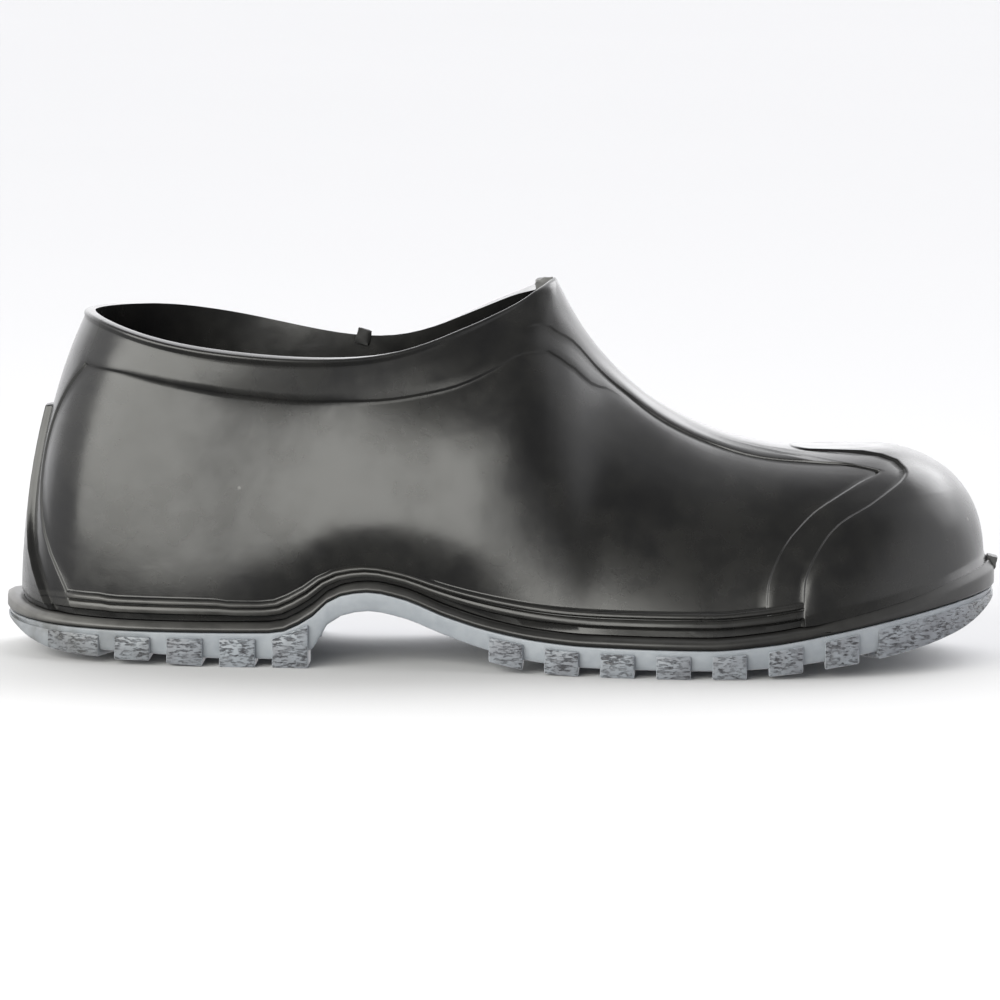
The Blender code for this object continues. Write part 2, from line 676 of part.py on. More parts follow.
def add_lug(name, bm, collection):
    """Keep a lug as a helper that is moulded onto the outsole."""
    bmesh.ops.recalc_face_normals(bm, faces=bm.faces)
    mesh = bpy.data.meshes.new(name)
    bm.to_mesh(mesh)
    bm.free()
    lug = bpy.data.objects.new(name, mesh)
    lug.hide_render = True
    lug.display_type = "WIRE"
    lug.location = home()
    collection.objects.link(lug)


def add_block(name, corners, heights, collection):
    """A cube drawn out to four corners in plan, with its own low and high level at each."""
    bm = bmesh.new()
    for vert in bmesh.ops.create_cube(bm, size=2.0)["verts"]:
        corner = (0 if vert.co.x < 0 else 1) + (0 if vert.co.y < 0 else 2)
        x, y = corners[corner]
        low, high = heights[corner]
        vert.co = (x * MM, y * MM, (low if vert.co.z < 0 else high) * MM)
    add_lug(name, bm, collection)


def add_wrapped_lug(name, middle, reach, collection):
    """A lug that follows the rim to either side of a station."""
    stations = (middle + np.linspace(-reach, reach, WRAP_COLUMNS)) % FULL_TURN
    low, high = [], []
    for inset in (WRAP_INSET, CLEAT_DEPTH):
        x, y = sole_edge(stations, inset)
        tread, rand = level("tread", x), level("rand", x)
        low.append(np.stack([x, y, tread], axis=-1))
        high.append(np.stack([x, y, rand - np.minimum(CLEAT_TOP_DROP, (rand - tread) / 2)], axis=-1))
    corners = [low[0], high[0], high[1], low[1]]
    bm = bmesh.new()
    add_sheet(bm, np.stack([*corners, corners[0]], axis=1))
    bmesh.ops.remove_doubles(bm, verts=bm.verts, dist=WELD)
    bmesh.ops.holes_fill(bm, edges=bm.edges, sides=len(corners))
    add_lug(name, bm, collection)


def add_cleat(name, start, end, side, collection):
    """One cleat on the edge: its outer face stands just proud of the rim."""
    corners = []
    heights = []
    middle = float(level("tread", (start + end) / 2))
    flat = abs(float(level("tread", start) - level("tread", end))) < FLAT_SLOPE
    for inward in (0.0, CLEAT_DEPTH):
        for x in (start, end):
            y = edge_at(x, side, -CLEAT_PROUD)
            corners.append((x, y - side * inward))
            low = middle if flat else float(level("tread", x))
            heights.append((low, float(level("rand", x)) - CLEAT_TOP_DROP))
    add_block(name, corners, heights, collection)


def add_bar(name, centre, collection):
    """A bar across the middle of the tread."""
    corners = []
    heights = []
    for side in (-1, 1):
        for x in (centre - BAR_WIDTH / 2, centre + BAR_WIDTH / 2):
            corners.append((x, edge_at(x, side, 0.0) * BAR_REACH))
            heights.append((float(level("tread", centre)), float(level("base", x)) + BAR_BITE))
    add_block(name, corners, heights, collection)


def build_outsole(material, collection, lugs):
    """The pale outsole: a shaped slab with its cleats and bars moulded on."""
    for group, row in (("heel", HEEL_CLEATS), ("ball", BALL_CLEATS)):
        for i in range(row.count):
            centre = row.first + row.pitch * i
            for side, word in ((-1, "outer"), (1, "inner")):
                start, end = centre - row.length / 2, centre + row.length / 2
                add_cleat(f"{group}_cleat_{word}_{i}", start, end, side, lugs)
            if i or group == "heel":
                add_bar(f"{group}_bar_{i}", centre - row.pitch / 2, lugs)
    add_wrapped_lug("toe_lug", 0.0, rim_station(TOE_LUG_X), lugs)
    add_wrapped_lug("heel_lug", HALF_TURN, HALF_TURN - rim_station(HEEL_LUG_X), lugs)
    top = sole_skin([RAND_INSET], "rand", 0.0)
    bottom = sole_skin([BASE_INSET], "base", 0.0)
    outsole = build_sole_layer("outsole", top, bottom, material, collection)
    joined = outsole.modifiers.new("cleats", "BOOLEAN")
    joined.operation = "UNION"
    joined.operand_type = "COLLECTION"
    joined.collection = lugs
    return outsole


def make_material(name, colour, roughness):
    material = bpy.data.materials.new(name)
    material.use_nodes = True
    shader = material.node_tree.nodes["Principled BSDF"]
    shader.inputs["Base Color"].default_value = (*colour, 1.0)
    shader.inputs["Roughness"].default_value = roughness
    shader.inputs["Metallic"].default_value = 0.0
    return material


def main():
    for obj in list(bpy.data.objects):
        bpy.data.objects.remove(obj)
    shoe = bpy.data.collections.new("overshoe")
    lugs = bpy.data.collections.new("lugs")
    for collection in (shoe, lugs):
        bpy.context.scene.collection.children.link(collection)
    build_upper(make_material("upper_rubber", BLACK, UPPER_ROUGHNESS), shoe)
    build_midsole(make_material("midsole_rubber", BLACK, MIDSOLE_ROUGHNESS), shoe)
    build_outsole(make_material("outsole_rubber", PALE, OUTSOLE_ROUGHNESS), shoe, lugs)


main()
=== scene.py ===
import math

import bpy
import numpy as np
from mathutils import Matrix, Quaternion, Vector


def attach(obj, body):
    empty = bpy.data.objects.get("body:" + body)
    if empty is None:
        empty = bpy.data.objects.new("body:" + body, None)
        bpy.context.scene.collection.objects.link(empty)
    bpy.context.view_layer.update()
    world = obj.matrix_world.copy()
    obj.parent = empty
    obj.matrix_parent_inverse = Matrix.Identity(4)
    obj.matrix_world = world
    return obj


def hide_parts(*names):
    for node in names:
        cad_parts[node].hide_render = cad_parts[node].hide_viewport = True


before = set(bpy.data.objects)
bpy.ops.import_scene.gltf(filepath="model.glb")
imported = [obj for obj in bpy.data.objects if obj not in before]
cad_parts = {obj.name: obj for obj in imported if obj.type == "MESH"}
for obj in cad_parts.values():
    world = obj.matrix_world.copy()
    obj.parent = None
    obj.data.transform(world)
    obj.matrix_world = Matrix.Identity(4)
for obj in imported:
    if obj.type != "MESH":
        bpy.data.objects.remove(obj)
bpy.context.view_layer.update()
print("frame loaded:", ", ".join(sorted(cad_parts)))

mm = 0.001
tiny = 0.001  # step for slopes, in stations or shares of the height
hair = 1e-9   # slack in comparisons
weldDistance = 1e-5  # the ridge of the toe closes to within a few microns
rimSamples = 400
smoothAngle = 38  # degrees


# The last that the rubber is moulded on. Millimetres, x forward from the heel lip.
# Stations run round the feather line: 0 toe tip, 5 collar front, 10 heel back, 20 toe tip again.
lastForm = {
    "length": 312.0,
    "toeTip": (307.0, 4.0),
    "heelBack": (7.5, 0.0),
    "collarFront": 5,
    "gap": 0.35,  # between the upper and the midsole
    "feather": {
        "x": [299, 281, 250, 210, 172, 122, 72, 36, 15],
        "outer": [20, 37, 49, 53, 47.5, 40.5, 38.5, 35.5, 23],
        "inner": [25.5, 40, 49.5, 51, 43, 35.5, 37, 35.5, 23],
    },
    "vamp": {  # top line, and tent: 1 is an ellipse, more is a tent, less is a box
        "x": [172, 180, 190, 200, 212, 226, 240, 254, 268],
        "top": [118, 103.6, 91.7, 82.8, 75.5, 69.8, 66.8, 65.8, 66.2],
        "tent": [1.10, 1.28, 1.39, 1.38, 1.30, 1.20, 1.09, 0.96, 0.85],
    },
    "quarterTent": 1.05,
    "ridge": 0.15,
    "toeCrown": 268.0,
    "toeFan": 236.0,
    "heelAxis": 56.0,
    "heelFan": 96.0,
    "collar": {
        "x": [26, 45, 75, 103, 125, 145, 160, 172],
        "outer": [107.2, 101.4, 96.4, 94.6, 96.4, 103.0, 110.4, 118],
        "inner": [107.2, 106.4, 102.0, 96.8, 97.2, 104.6, 112.2, 118],
    },
    "collarEnds": (26.0, 172.0),
    "collarEgg": (0.62, 0.345),  # width at the back and at the front
    "collarShift": 85.0,
    # how far the sides swell out at a third of their height and halfway up, and draw in at the foot
    "swell": {
        "x": [8, 40, 57, 75, 90, 105, 131, 150, 167, 185, 210, 250, 290],
        "foot": [0, 0, 0, 0.3, 1.4, 1.5, 1.4, 1.0, 0, 0, 0, 0, 0],
        "low": [2.4, 0.5, 1.1, 1.8, 1.9, 2.0, 1.6, 1.1, -0.7, -2.4, -2.3, -1.7, 0],
        "half": [0, -1.5, -1.9, -2.3, -1.7, -1.1, 0.0, 0.6, 0.2, -0.5, -0.5, -0.4, 0],
    },
    "footTop": 0.3,
    # sides below the collar front
    "soften": {"spread": 0.42, "samples": 15, "reach": 0.6, "fade": (0.72, 0.97)},
    "swing": 3.0,
    "flange": {"side": 3.8, "toe": 5.0, "heel": 7.5},
}
soleForm = {  # levels along the sole, the tread at the bottom and the ribs' height over the welt
    "x": [0, 4, 9, 16, 24, 44, 64, 70, 87, 98, 103.5, 110, 117, 127, 141, 155, 170, 185, 222, 240,
          262, 284, 300, 306, 312],
    "tread": [11, 8.9, 6.1, 3.7, 2.6, 1.6, 0.3, 0, 0, 0, 10, 16.6, 17.7, 15.6, 9, 3.4, 0.8, 0, 0, 0.9,
              3.4, 7.2, 11.8, 14.8, 19.4],
    "base": [11.5, 9.6, 7, 5, 4.2, 3.8, 2.6, 2.4, 2.4, 4.6, 13.2, 17, 18, 16.2, 11, 6.6, 3.6, 2.5, 2.4, 3.1,
             5.6, 9.4, 13.6, 16.2, 20.4],
    "rand": [13.2, 12.4, 11.8, 11.3, 10.9, 10.6, 10.5, 10.5, 10.7, 15.2, 20.4, 23.3, 24, 22.2, 16.9, 12.9,
             10.3, 9.2, 8.8, 10.2, 13.8, 18, 21, 22, 23],
    "welt": [19.2, 17.6, 16, 14.9, 14.2, 13.7, 13.6, 13.6, 13.8, 18.6, 23.4, 26.2, 27, 25.3, 20.1, 16.1,
             13.6, 12.6, 12.4, 13.9, 17.9, 23.2, 28.2, 29.9, 31.6],
    "ribs": [7.8, 7.8, 7.8, 7.8, 7.8, 7.8, 7.6, 7.4, 6.8, 6.2, 5.6, 5.3, 5.2, 5.4, 6.4, 7, 7.2, 7.4, 7.6,
             7.6, 7.6, 7.6, 7.6, 7.6, 7.6],
    "thinRim": {"spare": 0.9, "span": 2.2, "least": 0.2},  # the lower rim is flatter where a layer is thin
}


# smooth curve through the values, level at open ends or running round a loop
def spline(knots, values, at, loop=False):
    knots = np.asarray(knots, float)
    values = np.asarray(values, float)
    at = np.asarray(at, float)
    count = len(knots)
    step = np.diff(knots)
    slope = np.diff(values) / step
    matrix = np.zeros((count, count))
    right = np.zeros(count)
    for i in range(1, count - 1):
        matrix[i, i - 1:i + 2] = step[i - 1], 2 * (step[i - 1] + step[i]), step[i]
        right[i] = 6 * (slope[i] - slope[i - 1])
    matrix[0, 0] = matrix[-1, -1] = 1.0
    if loop:
        matrix[0, -1] = -1.0
        matrix[-1, [0, 1]] = 2 * step[0], step[0]
        matrix[-1, [-2, -1]] = step[-1], 2 * step[-1]
        right[-1] = 6 * (slope[0] - slope[-1])
    bend = np.linalg.solve(matrix, right)
    i = np.clip(np.searchsorted(knots, at, "right") - 1, 0, count - 2)
    ahead, past, h = knots[i + 1] - at, at - knots[i], step[i]
    return ((bend[i] * ahead**3 + bend[i + 1] * past**3) / (6 * h)
            + (values[i] / h - bend[i] * h / 6) * ahead
            + (values[i + 1] / h - bend[i + 1] * h / 6) * past)


def along(table, column, x):
    return spline(table["x"], table[column], np.clip(x, table["x"][0], table["x"][-1]))


# curve that never passes beyond the two values it lies between
def calmCurve(knots, values, x):
    knots = np.asarray(knots, float)
    values = np.asarray(values, float)
    slope = np.diff(values) / np.diff(knots)
    before, after = slope[:-1], slope[1:]
    agree = before * after > 0
    tangent = np.zeros_like(values)
    tangent[1:-1][agree] = 2 * before[agree] * after[agree] / (before[agree] + after[agree])
    tangent[0], tangent[-1] = slope[0], slope[-1]
    x = np.clip(x, knots[0], knots[-1])
    i = np.clip(np.searchsorted(knots, x, "right") - 1, 0, len(knots) - 2)
    h = knots[i + 1] - knots[i]
    t = (x - knots[i]) / h
    return (values[i] * (1 + 2 * t) * (1 - t) ** 2 + tangent[i] * h * t * (1 - t) ** 2
            + values[i + 1] * t**2 * (3 - 2 * t) + tangent[i + 1] * h * t**2 * (t - 1))


def soleLevel(column, x):
    return calmCurve(soleForm["x"], soleForm[column], x)


def easeStep(value, low, high):
    t = np.clip((value - low) / (high - low), 0, 1)
    return t * t * (3 - 2 * t)


halfTurn = len(lastForm["feather"]["x"]) + 1
fullTurn = 2 * halfTurn


def featherRing():
    line = lastForm["feather"]
    outer = [(x, -y) for x, y in zip(line["x"], line["outer"])]
    inner = [(x, y) for x, y in zip(line["x"], line["inner"])][::-1]
    ring = np.array([lastForm["toeTip"], *outer, lastForm["heelBack"], *inner, lastForm["toeTip"]])
    steps = np.hypot(*np.diff(ring, axis=0).T)
    return ring, np.concatenate([[0], np.cumsum((steps + steps[::-1]) / 2)])


ringPoints, ringLengths = featherRing()


def feather(station):
    distance = np.interp(station, np.arange(fullTurn + 1), ringLengths)
    return (spline(ringLengths, ringPoints[:, 0], distance, loop=True),
            spline(ringLengths, ringPoints[:, 1], distance, loop=True))


# sections fan out round the heel and the toe
def spineX(x):
    toeReach = 2 * (lastForm["toeCrown"] - lastForm["toeFan"])
    heelReach = 2 * (lastForm["heelFan"] - lastForm["heelAxis"])
    toe = np.clip((x - lastForm["toeFan"]) / toeReach, 0, 1)
    heel = np.clip((lastForm["heelFan"] - x) / heelReach, 0, 1)
    middle = np.clip(x, lastForm["heelFan"], lastForm["toeFan"])
    return middle + toeReach * (toe - toe**2 / 2) - heelReach * (heel - heel**2 / 2)


def spineY(x):
    share = (x - lastForm["heelAxis"]) / (lastForm["toeCrown"] - lastForm["heelAxis"])
    return lastForm["swing"] * np.clip(share, 0, 1) ** 2


def collarPoint(station, x):
    back, front = lastForm["collarEnds"]
    eggBack, eggFront = lastForm["collarEgg"]
    heelX = lastForm["heelBack"][0]
    shift = np.clip((lastForm["collarShift"] - x) / (lastForm["collarShift"] - heelX), 0, 1)
    edgeX = np.minimum(x + (back - heelX) * shift**2, front)
    behind = np.maximum(edgeX - back, 0)
    ahead = np.maximum(front - edgeX, 0)
    egg = eggFront + (eggBack - eggFront) * (ahead / (front - back)) ** 2
    side = np.where(station < halfTurn, -1.0, 1.0)
    edgeY = spineY(edgeX) + side * egg * np.sqrt(behind * ahead)
    collar = lastForm["collar"]
    edgeZ = np.where(side < 0, along(collar, "outer", edgeX), along(collar, "inner", edgeX))
    return edgeX, edgeY, edgeZ


def archRise(across, tent):
    power = 2 / tent
    ridge = lastForm["ridge"]
    share = np.sqrt((across**2 + ridge**2) / (1 + ridge**2))
    crown = ridge / math.sqrt(1 + ridge**2)
    return ((1 - share**power) / (1 - crown**power)) ** (1 / power)


# sections of the vamp and the quarter, before they are softened into each other
def sectionPoint(station, up):
    x, y = feather(station)
    base = soleLevel("welt", x) + lastForm["gap"]
    axisX = spineX(x)
    axisY = spineY(axisX)
    front = lastForm["collarFront"]
    opened = (station > front) & (station < fullTurn - front)
    edgeX, edgeY, edgeZ = collarPoint(station, x)
    topX = np.where(opened, edgeX, axisX)
    topY = np.where(opened, edgeY, axisY)
    topZ = np.where(opened, edgeZ, along(lastForm["vamp"], "top", axisX))
    frontX = lastForm["collarEnds"][1]
    blend = np.clip((frontX - axisX) / (frontX - lastForm["heelFan"]), 0, 1)
    tent = along(lastForm["vamp"], "tent", axisX) * (1 - blend) + lastForm["quarterTent"] * blend
    reach = np.hypot(x - axisX, y - axisY)
    narrow = np.where(opened, np.hypot(topX - axisX, topY - axisY) / reach, 0.0)
    turn = np.arccos(np.clip(narrow, 0, 1) ** (1 / tent))
    across = np.clip(np.cos(up * turn), 0, 1) ** tent
    lean = (1 - across) / (1 - narrow)
    rise = archRise(across, tent) / archRise(narrow, tent)
    outX, outY = (x - axisX) / reach, (y - axisY) / reach
    low, half, foot = [calmCurve(lastForm["swell"]["x"], lastForm["swell"][row], x)
                       for row in ("low", "half", "foot")]
    # each hump is 1 at its top: a third of the way up, and halfway
    bulge = outY**2 * (low * up * (1 - up) ** 2 * 27 / 4 + half * up**2 * (1 - up) ** 2 * 16
                       - foot * (1 - easeStep(up, 0, lastForm["footTop"])))
    return np.stack([x + (topX - x) * lean + outX * bulge,
                     y + (topY - y) * lean + outY * bulge,
                     base + (topZ - base) * rise], axis=-1)


# plain outer surface: station round the shoe, up from 0 at the feather to 1 on top
def lastPoint(station, up):
    station = np.asarray(station, float)
    up = np.asarray(up, float)
    soften = lastForm["soften"]
    fromFront = np.minimum(station, fullTurn - station) - lastForm["collarFront"]
    window = np.exp(-((fromFront / soften["reach"]) ** 2)) * (1 - easeStep(up, *soften["fade"]))
    offsets = np.linspace(-1, 1, soften["samples"] + 2)[1:-1]
    shares = (1 - offsets**2) ** 2
    return sum(share * sectionPoint(station + offset * soften["spread"] * window, up)
               for offset, share in zip(offsets, shares / shares.sum()))


def lastNormal(station, up):
    inside = np.clip(up, 2 * tiny, 1 - 2 * tiny)
    around = lastPoint(station + tiny, inside) - lastPoint(station - tiny, inside)
    upward = lastPoint(station, inside + tiny) - lastPoint(station, inside - tiny)
    normal = np.cross(upward, around)
    return normal / np.linalg.norm(normal, axis=-1, keepdims=True)


# rim of the sole, drawn in by an inset
def soleEdge(station, inset):
    x, y = feather(station)
    aheadX, aheadY = feather((station + tiny) % fullTurn)
    behindX, behindY = feather((station - tiny) % fullTurn)
    dx, dy = aheadX - behindX, aheadY - behindY
    length = np.hypot(dx, dy)
    knots = lastForm["feather"]["x"]
    toe = np.clip((x - knots[1]) / (lastForm["toeTip"][0] - knots[1]), 0, 1) ** 2
    heel = np.clip((knots[-2] - x) / (knots[-2] - lastForm["heelBack"][0]), 0, 1) ** 2
    wide = lastForm["flange"]
    out = wide["side"] + (wide["toe"] - wide["side"]) * toe + (wide["heel"] - wide["side"]) * heel - inset
    return x - dy / length * out, y + dx / length * out


cleatProud = 0.5
rimY = soleEdge(np.linspace(0, fullTurn, rimSamples), -cleatProud)[1]
home = np.array([-lastForm["length"] / 2, -(rimY.min() + rimY.max()) / 2, 0.0])
print("last ready, shifted by", np.round(home, 2), "mm")


def startClean():
    if bpy.context.object and bpy.context.object.mode != "OBJECT":
        bpy.ops.object.mode_set(mode="OBJECT")
    bpy.ops.object.select_all(action="DESELECT")


def makeActive(piece):
    startClean()
    piece.select_set(True)
    bpy.context.view_layer.objects.active = piece


def editAll():
    bpy.ops.object.mode_set(mode="EDIT")
    bpy.ops.mesh.select_all(action="SELECT")


def faceOutwards():
    editAll()
    bpy.ops.mesh.normals_make_consistent(inside=False)
    bpy.ops.object.mode_set(mode="OBJECT")


# a flat grid whose vertices are laid on a table of points, columns by rows; masks are kept as attributes
def layGrid(name, points, **masks):
    columns, rows = points.shape[:2]
    startClean()
    bpy.ops.mesh.primitive_grid_add(x_subdivisions=columns - 1, y_subdivisions=rows - 1, size=2)
    piece = bpy.context.object
    piece.name = piece.data.name = name
    flat = np.empty(len(piece.data.vertices) * 3)
    piece.data.vertices.foreach_get("co", flat)
    flat = flat.reshape(-1, 3)
    column = np.rint((flat[:, 0] + 1) / 2 * (columns - 1)).astype(int)
    row = np.rint((flat[:, 1] + 1) / 2 * (rows - 1)).astype(int)
    piece.data.vertices.foreach_set("co", ((points[column, row] + home) * mm).ravel())
    for mask, values in masks.items():
        piece.data.attributes.new(mask, "FLOAT", "POINT").data.foreach_set("value", values[column, row])
    piece.data.update()
    return piece


def joinPieces(pieces):
    startClean()
    for piece in pieces:
        piece.select_set(True)
    bpy.context.view_layer.objects.active = pieces[0]
    bpy.ops.object.join()
    return bpy.context.object


def weldAll(piece):
    makeActive(piece)
    editAll()
    bpy.ops.mesh.remove_doubles(threshold=weldDistance)
    bpy.ops.object.mode_set(mode="OBJECT")


# bridges the two open rims whose height lies between low and high
def bridgeRims(piece, low, high):
    bpy.ops.object.mode_set(mode="EDIT")
    bpy.ops.mesh.select_mode(type="EDGE")
    bpy.ops.mesh.select_all(action="DESELECT")
    bpy.ops.mesh.select_non_manifold(extend=False, use_wire=False, use_boundary=True, use_multi_face=False,
                                     use_non_contiguous=False, use_verts=False)
    bpy.ops.object.mode_set(mode="OBJECT")
    heights = [vert.co.z for vert in piece.data.vertices]
    for edge in piece.data.edges:
        edge.select = edge.select and all(low < heights[v] < high for v in edge.vertices)
    bpy.ops.object.mode_set(mode="EDIT")
    bpy.ops.mesh.bridge_edge_loops()
    bpy.ops.object.mode_set(mode="OBJECT")


def finishPiece(piece, material, node, angle=smoothAngle):
    makeActive(piece)
    faceOutwards()
    bpy.ops.object.shade_smooth_by_angle(angle=math.radians(angle))
    if material and not piece.data.materials:
        piece.data.materials.append(material)
    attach(piece, "root")
    if node:
        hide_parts(node)
    print(piece.name, "done:", len(piece.data.polygons), "faces")


# Shader groups

def newGroup(name, inputs, outputs):
    group = bpy.data.node_groups.new(name, "ShaderNodeTree")
    for label, kind, value in inputs:
        socket = group.interface.new_socket(name=label, in_out="INPUT", socket_type=kind)
        if value is not None:
            socket.default_value = value
    for label, kind in outputs:
        group.interface.new_socket(name=label, in_out="OUTPUT", socket_type=kind)
    return group, group.nodes.new("NodeGroupInput"), group.nodes.new("NodeGroupOutput")


# inputs go by name, or by number as i0, i1 and so on
def addNode(tree, kind, settings=None, **values):
    node = tree.nodes.new(kind)
    for key, value in (settings or {}).items():
        setattr(node, key, value)
    for key, value in values.items():
        socket = node.inputs[int(key[1:])] if key[0] == "i" and key[1:].isdigit() else node.inputs[key]
        if isinstance(value, bpy.types.NodeSocket):
            tree.links.new(value, socket)
        else:
            socket.default_value = value
    return node


def mathNode(tree, operation, first, second=0.0, clamp=False):
    return addNode(tree, "ShaderNodeMath", {"operation": operation, "use_clamp": clamp},
                   i0=first, i1=second).outputs[0]


def rangeNode(tree, value, fromLow, fromHigh, toLow, toHigh):
    return addNode(tree, "ShaderNodeMapRange", {"interpolation_type": "SMOOTHSTEP"}, i0=value, i1=fromLow,
                   i2=fromHigh, i3=toLow, i4=toHigh).outputs[0]


def noiseNode(tree, vector, scale, detail=2.0, roughness=0.5):
    return addNode(tree, "ShaderNodeTexNoise", None, Vector=vector, Scale=scale, Detail=detail,
                   Roughness=roughness).outputs[0]


def mixColour(tree, factor, first, second):
    return addNode(tree, "ShaderNodeMix", {"data_type": "RGBA"}, i0=factor, i6=first, i7=second).outputs[2]


# moulded rubber skin: fine grain, soft waviness and cloudy gloss
skinMix = {
    "grain": 0.012,
    "ripple": 0.10,
    "rippleScale": 5.5,
    "cloudWave": 0.6,
    "cloudRipple": 0.4,
    "cloudRange": (0.32, 0.68, 0.0, 1.0),
}


def makeRubberSkin():
    tree, start, end = newGroup(
        "rubberSkin",
        [("Vector", "NodeSocketVector", None), ("Grain", "NodeSocketFloat", 1600.0),
         ("Cloud", "NodeSocketFloat", 26.0)],
        [("Height", "NodeSocketFloat"), ("Cloudy", "NodeSocketFloat")])
    place = start.outputs["Vector"]
    grain = noiseNode(tree, place, start.outputs["Grain"], 2.0)
    wave = noiseNode(tree, place, start.outputs["Cloud"], 2.0)
    fine = mathNode(tree, "MULTIPLY", start.outputs["Cloud"], skinMix["rippleScale"])
    ripple = noiseNode(tree, place, fine, 3.0)
    rippled = mathNode(tree, "ADD", wave, mathNode(tree, "MULTIPLY", ripple, skinMix["ripple"]))
    height = mathNode(tree, "ADD", mathNode(tree, "MULTIPLY", grain, skinMix["grain"]), rippled)
    tree.links.new(height, end.inputs["Height"])
    cloud = mathNode(tree, "ADD", mathNode(tree, "MULTIPLY", wave, skinMix["cloudWave"]),
                     mathNode(tree, "MULTIPLY", ripple, skinMix["cloudRipple"]))
    tree.links.new(rangeNode(tree, cloud, *skinMix["cloudRange"]), end.inputs["Cloudy"])
    return tree


# sparse pale specks of dust
speckEdge = (0.05, 0.13)


def makeDustSpecks():
    tree, start, end = newGroup(
        "dustSpecks",
        [("Vector", "NodeSocketVector", None), ("Scale", "NodeSocketFloat", 260.0),
         ("Amount", "NodeSocketFloat", 0.05)],
        [("Mask", "NodeSocketFloat")])
    cells = addNode(tree, "ShaderNodeTexVoronoi", None, Vector=start.outputs["Vector"],
                    Scale=start.outputs["Scale"])
    spot = rangeNode(tree, cells.outputs["Distance"], *speckEdge, 1.0, 0.0)
    pick = addNode(tree, "ShaderNodeSeparateColor", None, i0=cells.outputs["Color"]).outputs[0]
    chosen = mathNode(tree, "LESS_THAN", pick, start.outputs["Amount"])
    tree.links.new(mathNode(tree, "MULTIPLY", spot, chosen), end.inputs["Mask"])
    return tree


rubberSkin = makeRubberSkin()
dustSpecks = makeDustSpecks()


def newMaterial(name):
    material = bpy.data.materials.new(name)
    material.use_nodes = True
    tree = material.node_tree
    shader = tree.nodes["Principled BSDF"]
    place = addNode(tree, "ShaderNodeTexCoord").outputs["Object"]
    return material, tree, shader, place


def groupNode(tree, group, **values):
    return addNode(tree, "ShaderNodeGroup", {"node_tree": group}, **values)


def bumpInto(tree, shader, height, distance, strength=1.0):
    bump = addNode(tree, "ShaderNodeBump", None, Strength=strength, Distance=distance, Height=height)
    tree.links.new(bump.outputs["Normal"], shader.inputs["Normal"])


def makeBlackRubber(name, look):
    material, tree, shader, place = newMaterial(name)
    skin = groupNode(tree, rubberSkin, Vector=place, Grain=look["grain"], Cloud=look["cloud"])
    specks = groupNode(tree, dustSpecks, Vector=place, Scale=look["speckScale"], Amount=look["speckAmount"])
    cloudy = skin.outputs["Cloudy"]
    body = mixColour(tree, cloudy, look["deep"], look["bloom"])
    # painted sheen and dust: lighter where the dust attribute is set, on the ribs and the flange
    dustAndSheen = addNode(tree, "ShaderNodeAttribute", {"attribute_name": "dust"}).outputs["Fac"]
    patchy = rangeNode(tree, noiseNode(tree, place, look["dustAndSheenScale"], 3.0), *look["dustAndSheenPatches"])
    dustAndSheen = mathNode(tree, "MULTIPLY", dustAndSheen, patchy)
    body = mixColour(tree, dustAndSheen, body, look["dustAndSheen"])
    colour = mixColour(tree, mathNode(tree, "MULTIPLY", specks.outputs["Mask"], look["speckShow"]), body,
                       look["dust"])
    tree.links.new(colour, shader.inputs["Base Color"])
    gloss = rangeNode(tree, cloudy, 0.0, 1.0, *look["roughness"])
    gloss = mathNode(tree, "ADD", gloss, mathNode(tree, "MULTIPLY", dustAndSheen, look["dustAndSheenRough"]))
    cut = addNode(tree, "ShaderNodeAttribute", {"attribute_name": "cutEdge"}).outputs["Fac"]
    gloss = mathNode(tree, "ADD", gloss, mathNode(tree, "MULTIPLY", cut, look["cutRough"]))
    tree.links.new(gloss, shader.inputs["Roughness"])
    bumpInto(tree, shader, skin.outputs["Height"], look["bump"])
    shader.inputs["Specular IOR Level"].default_value = look["specular"]
    return material


blackLook = {
    "deep": (0.0075, 0.0075, 0.0078, 1),
    "bloom": (0.0125, 0.0123, 0.0115, 1),
    "dust": (0.16, 0.16, 0.15, 1),
    "dustAndSheen": (0.068, 0.067, 0.063, 1),  # dust that lies on the ribs and the flange, made lighter still as a painted sheen
    "dustAndSheenScale": 90.0,
    "dustAndSheenPatches": (0.3, 0.68, 0.45, 1.0),
    "dustAndSheenRough": 0.2,
    "cutRough": 0.35,  # the edge of the back stay is matt
    "roughness": (0.21, 0.29),
    "specular": 0.5,
    "grain": 1600.0,
    "cloud": 24.0,
    "bump": 0.0006,
    "speckScale": 150.0,
    "speckAmount": 0.012,
    "speckShow": 0.5,
}
upperRubber = makeBlackRubber("upperRubber", blackLook)
# the midsole's flange gets a lighter dust colour, partly real dust and partly painted sheen
midsoleRubber = makeBlackRubber("midsoleRubber", {**blackLook, "roughness": (0.30, 0.38), "bump": 0.0003,
                                                  "dustAndSheen": (0.13, 0.128, 0.122, 1), "speckAmount": 0.06})

paleLook = {
    "light": (0.285, 0.305, 0.33, 1),
    "shade": (0.235, 0.255, 0.28, 1),
    "stain": (0.042, 0.042, 0.048, 1),
    "cleat": (0.16, 0.167, 0.185, 1),
    "dirt": (0.07, 0.07, 0.066, 1),
    "heelDirt": (-0.156, -0.085, 0.85, 0.0),  # from x, to x, and how much at each
    "toeDirt": (0.140, 0.156, 0.0, 0.6),
    "roughness": (0.38, 0.5),
    "bump": 0.0003,
    "grain": 1400.0,
    "cloud": 60.0,
    "streaks": (430.0, 430.0, 1500.0),
    "streakRough": 0.62,
    "streakRange": (0.49, 0.63, 0.0, 1.0),
    "patchScale": 260.0,
    "patchRange": (0.35, 0.60, 0.45, 1.0),
    "dirtScale": 150.0,
    "dirtRange": (0.3, 0.65, 0.5, 1.0),
    "mottle": 0.0009,
    "mottleStrength": 0.7,
    "mottleSkin": 0.2,    # how much of the plain skin is left in the mottle
    "scatter": 0.2,
    "scatterDepth": 0.003,
    "scatterTint": (0.8, 0.9, 1.0),
}


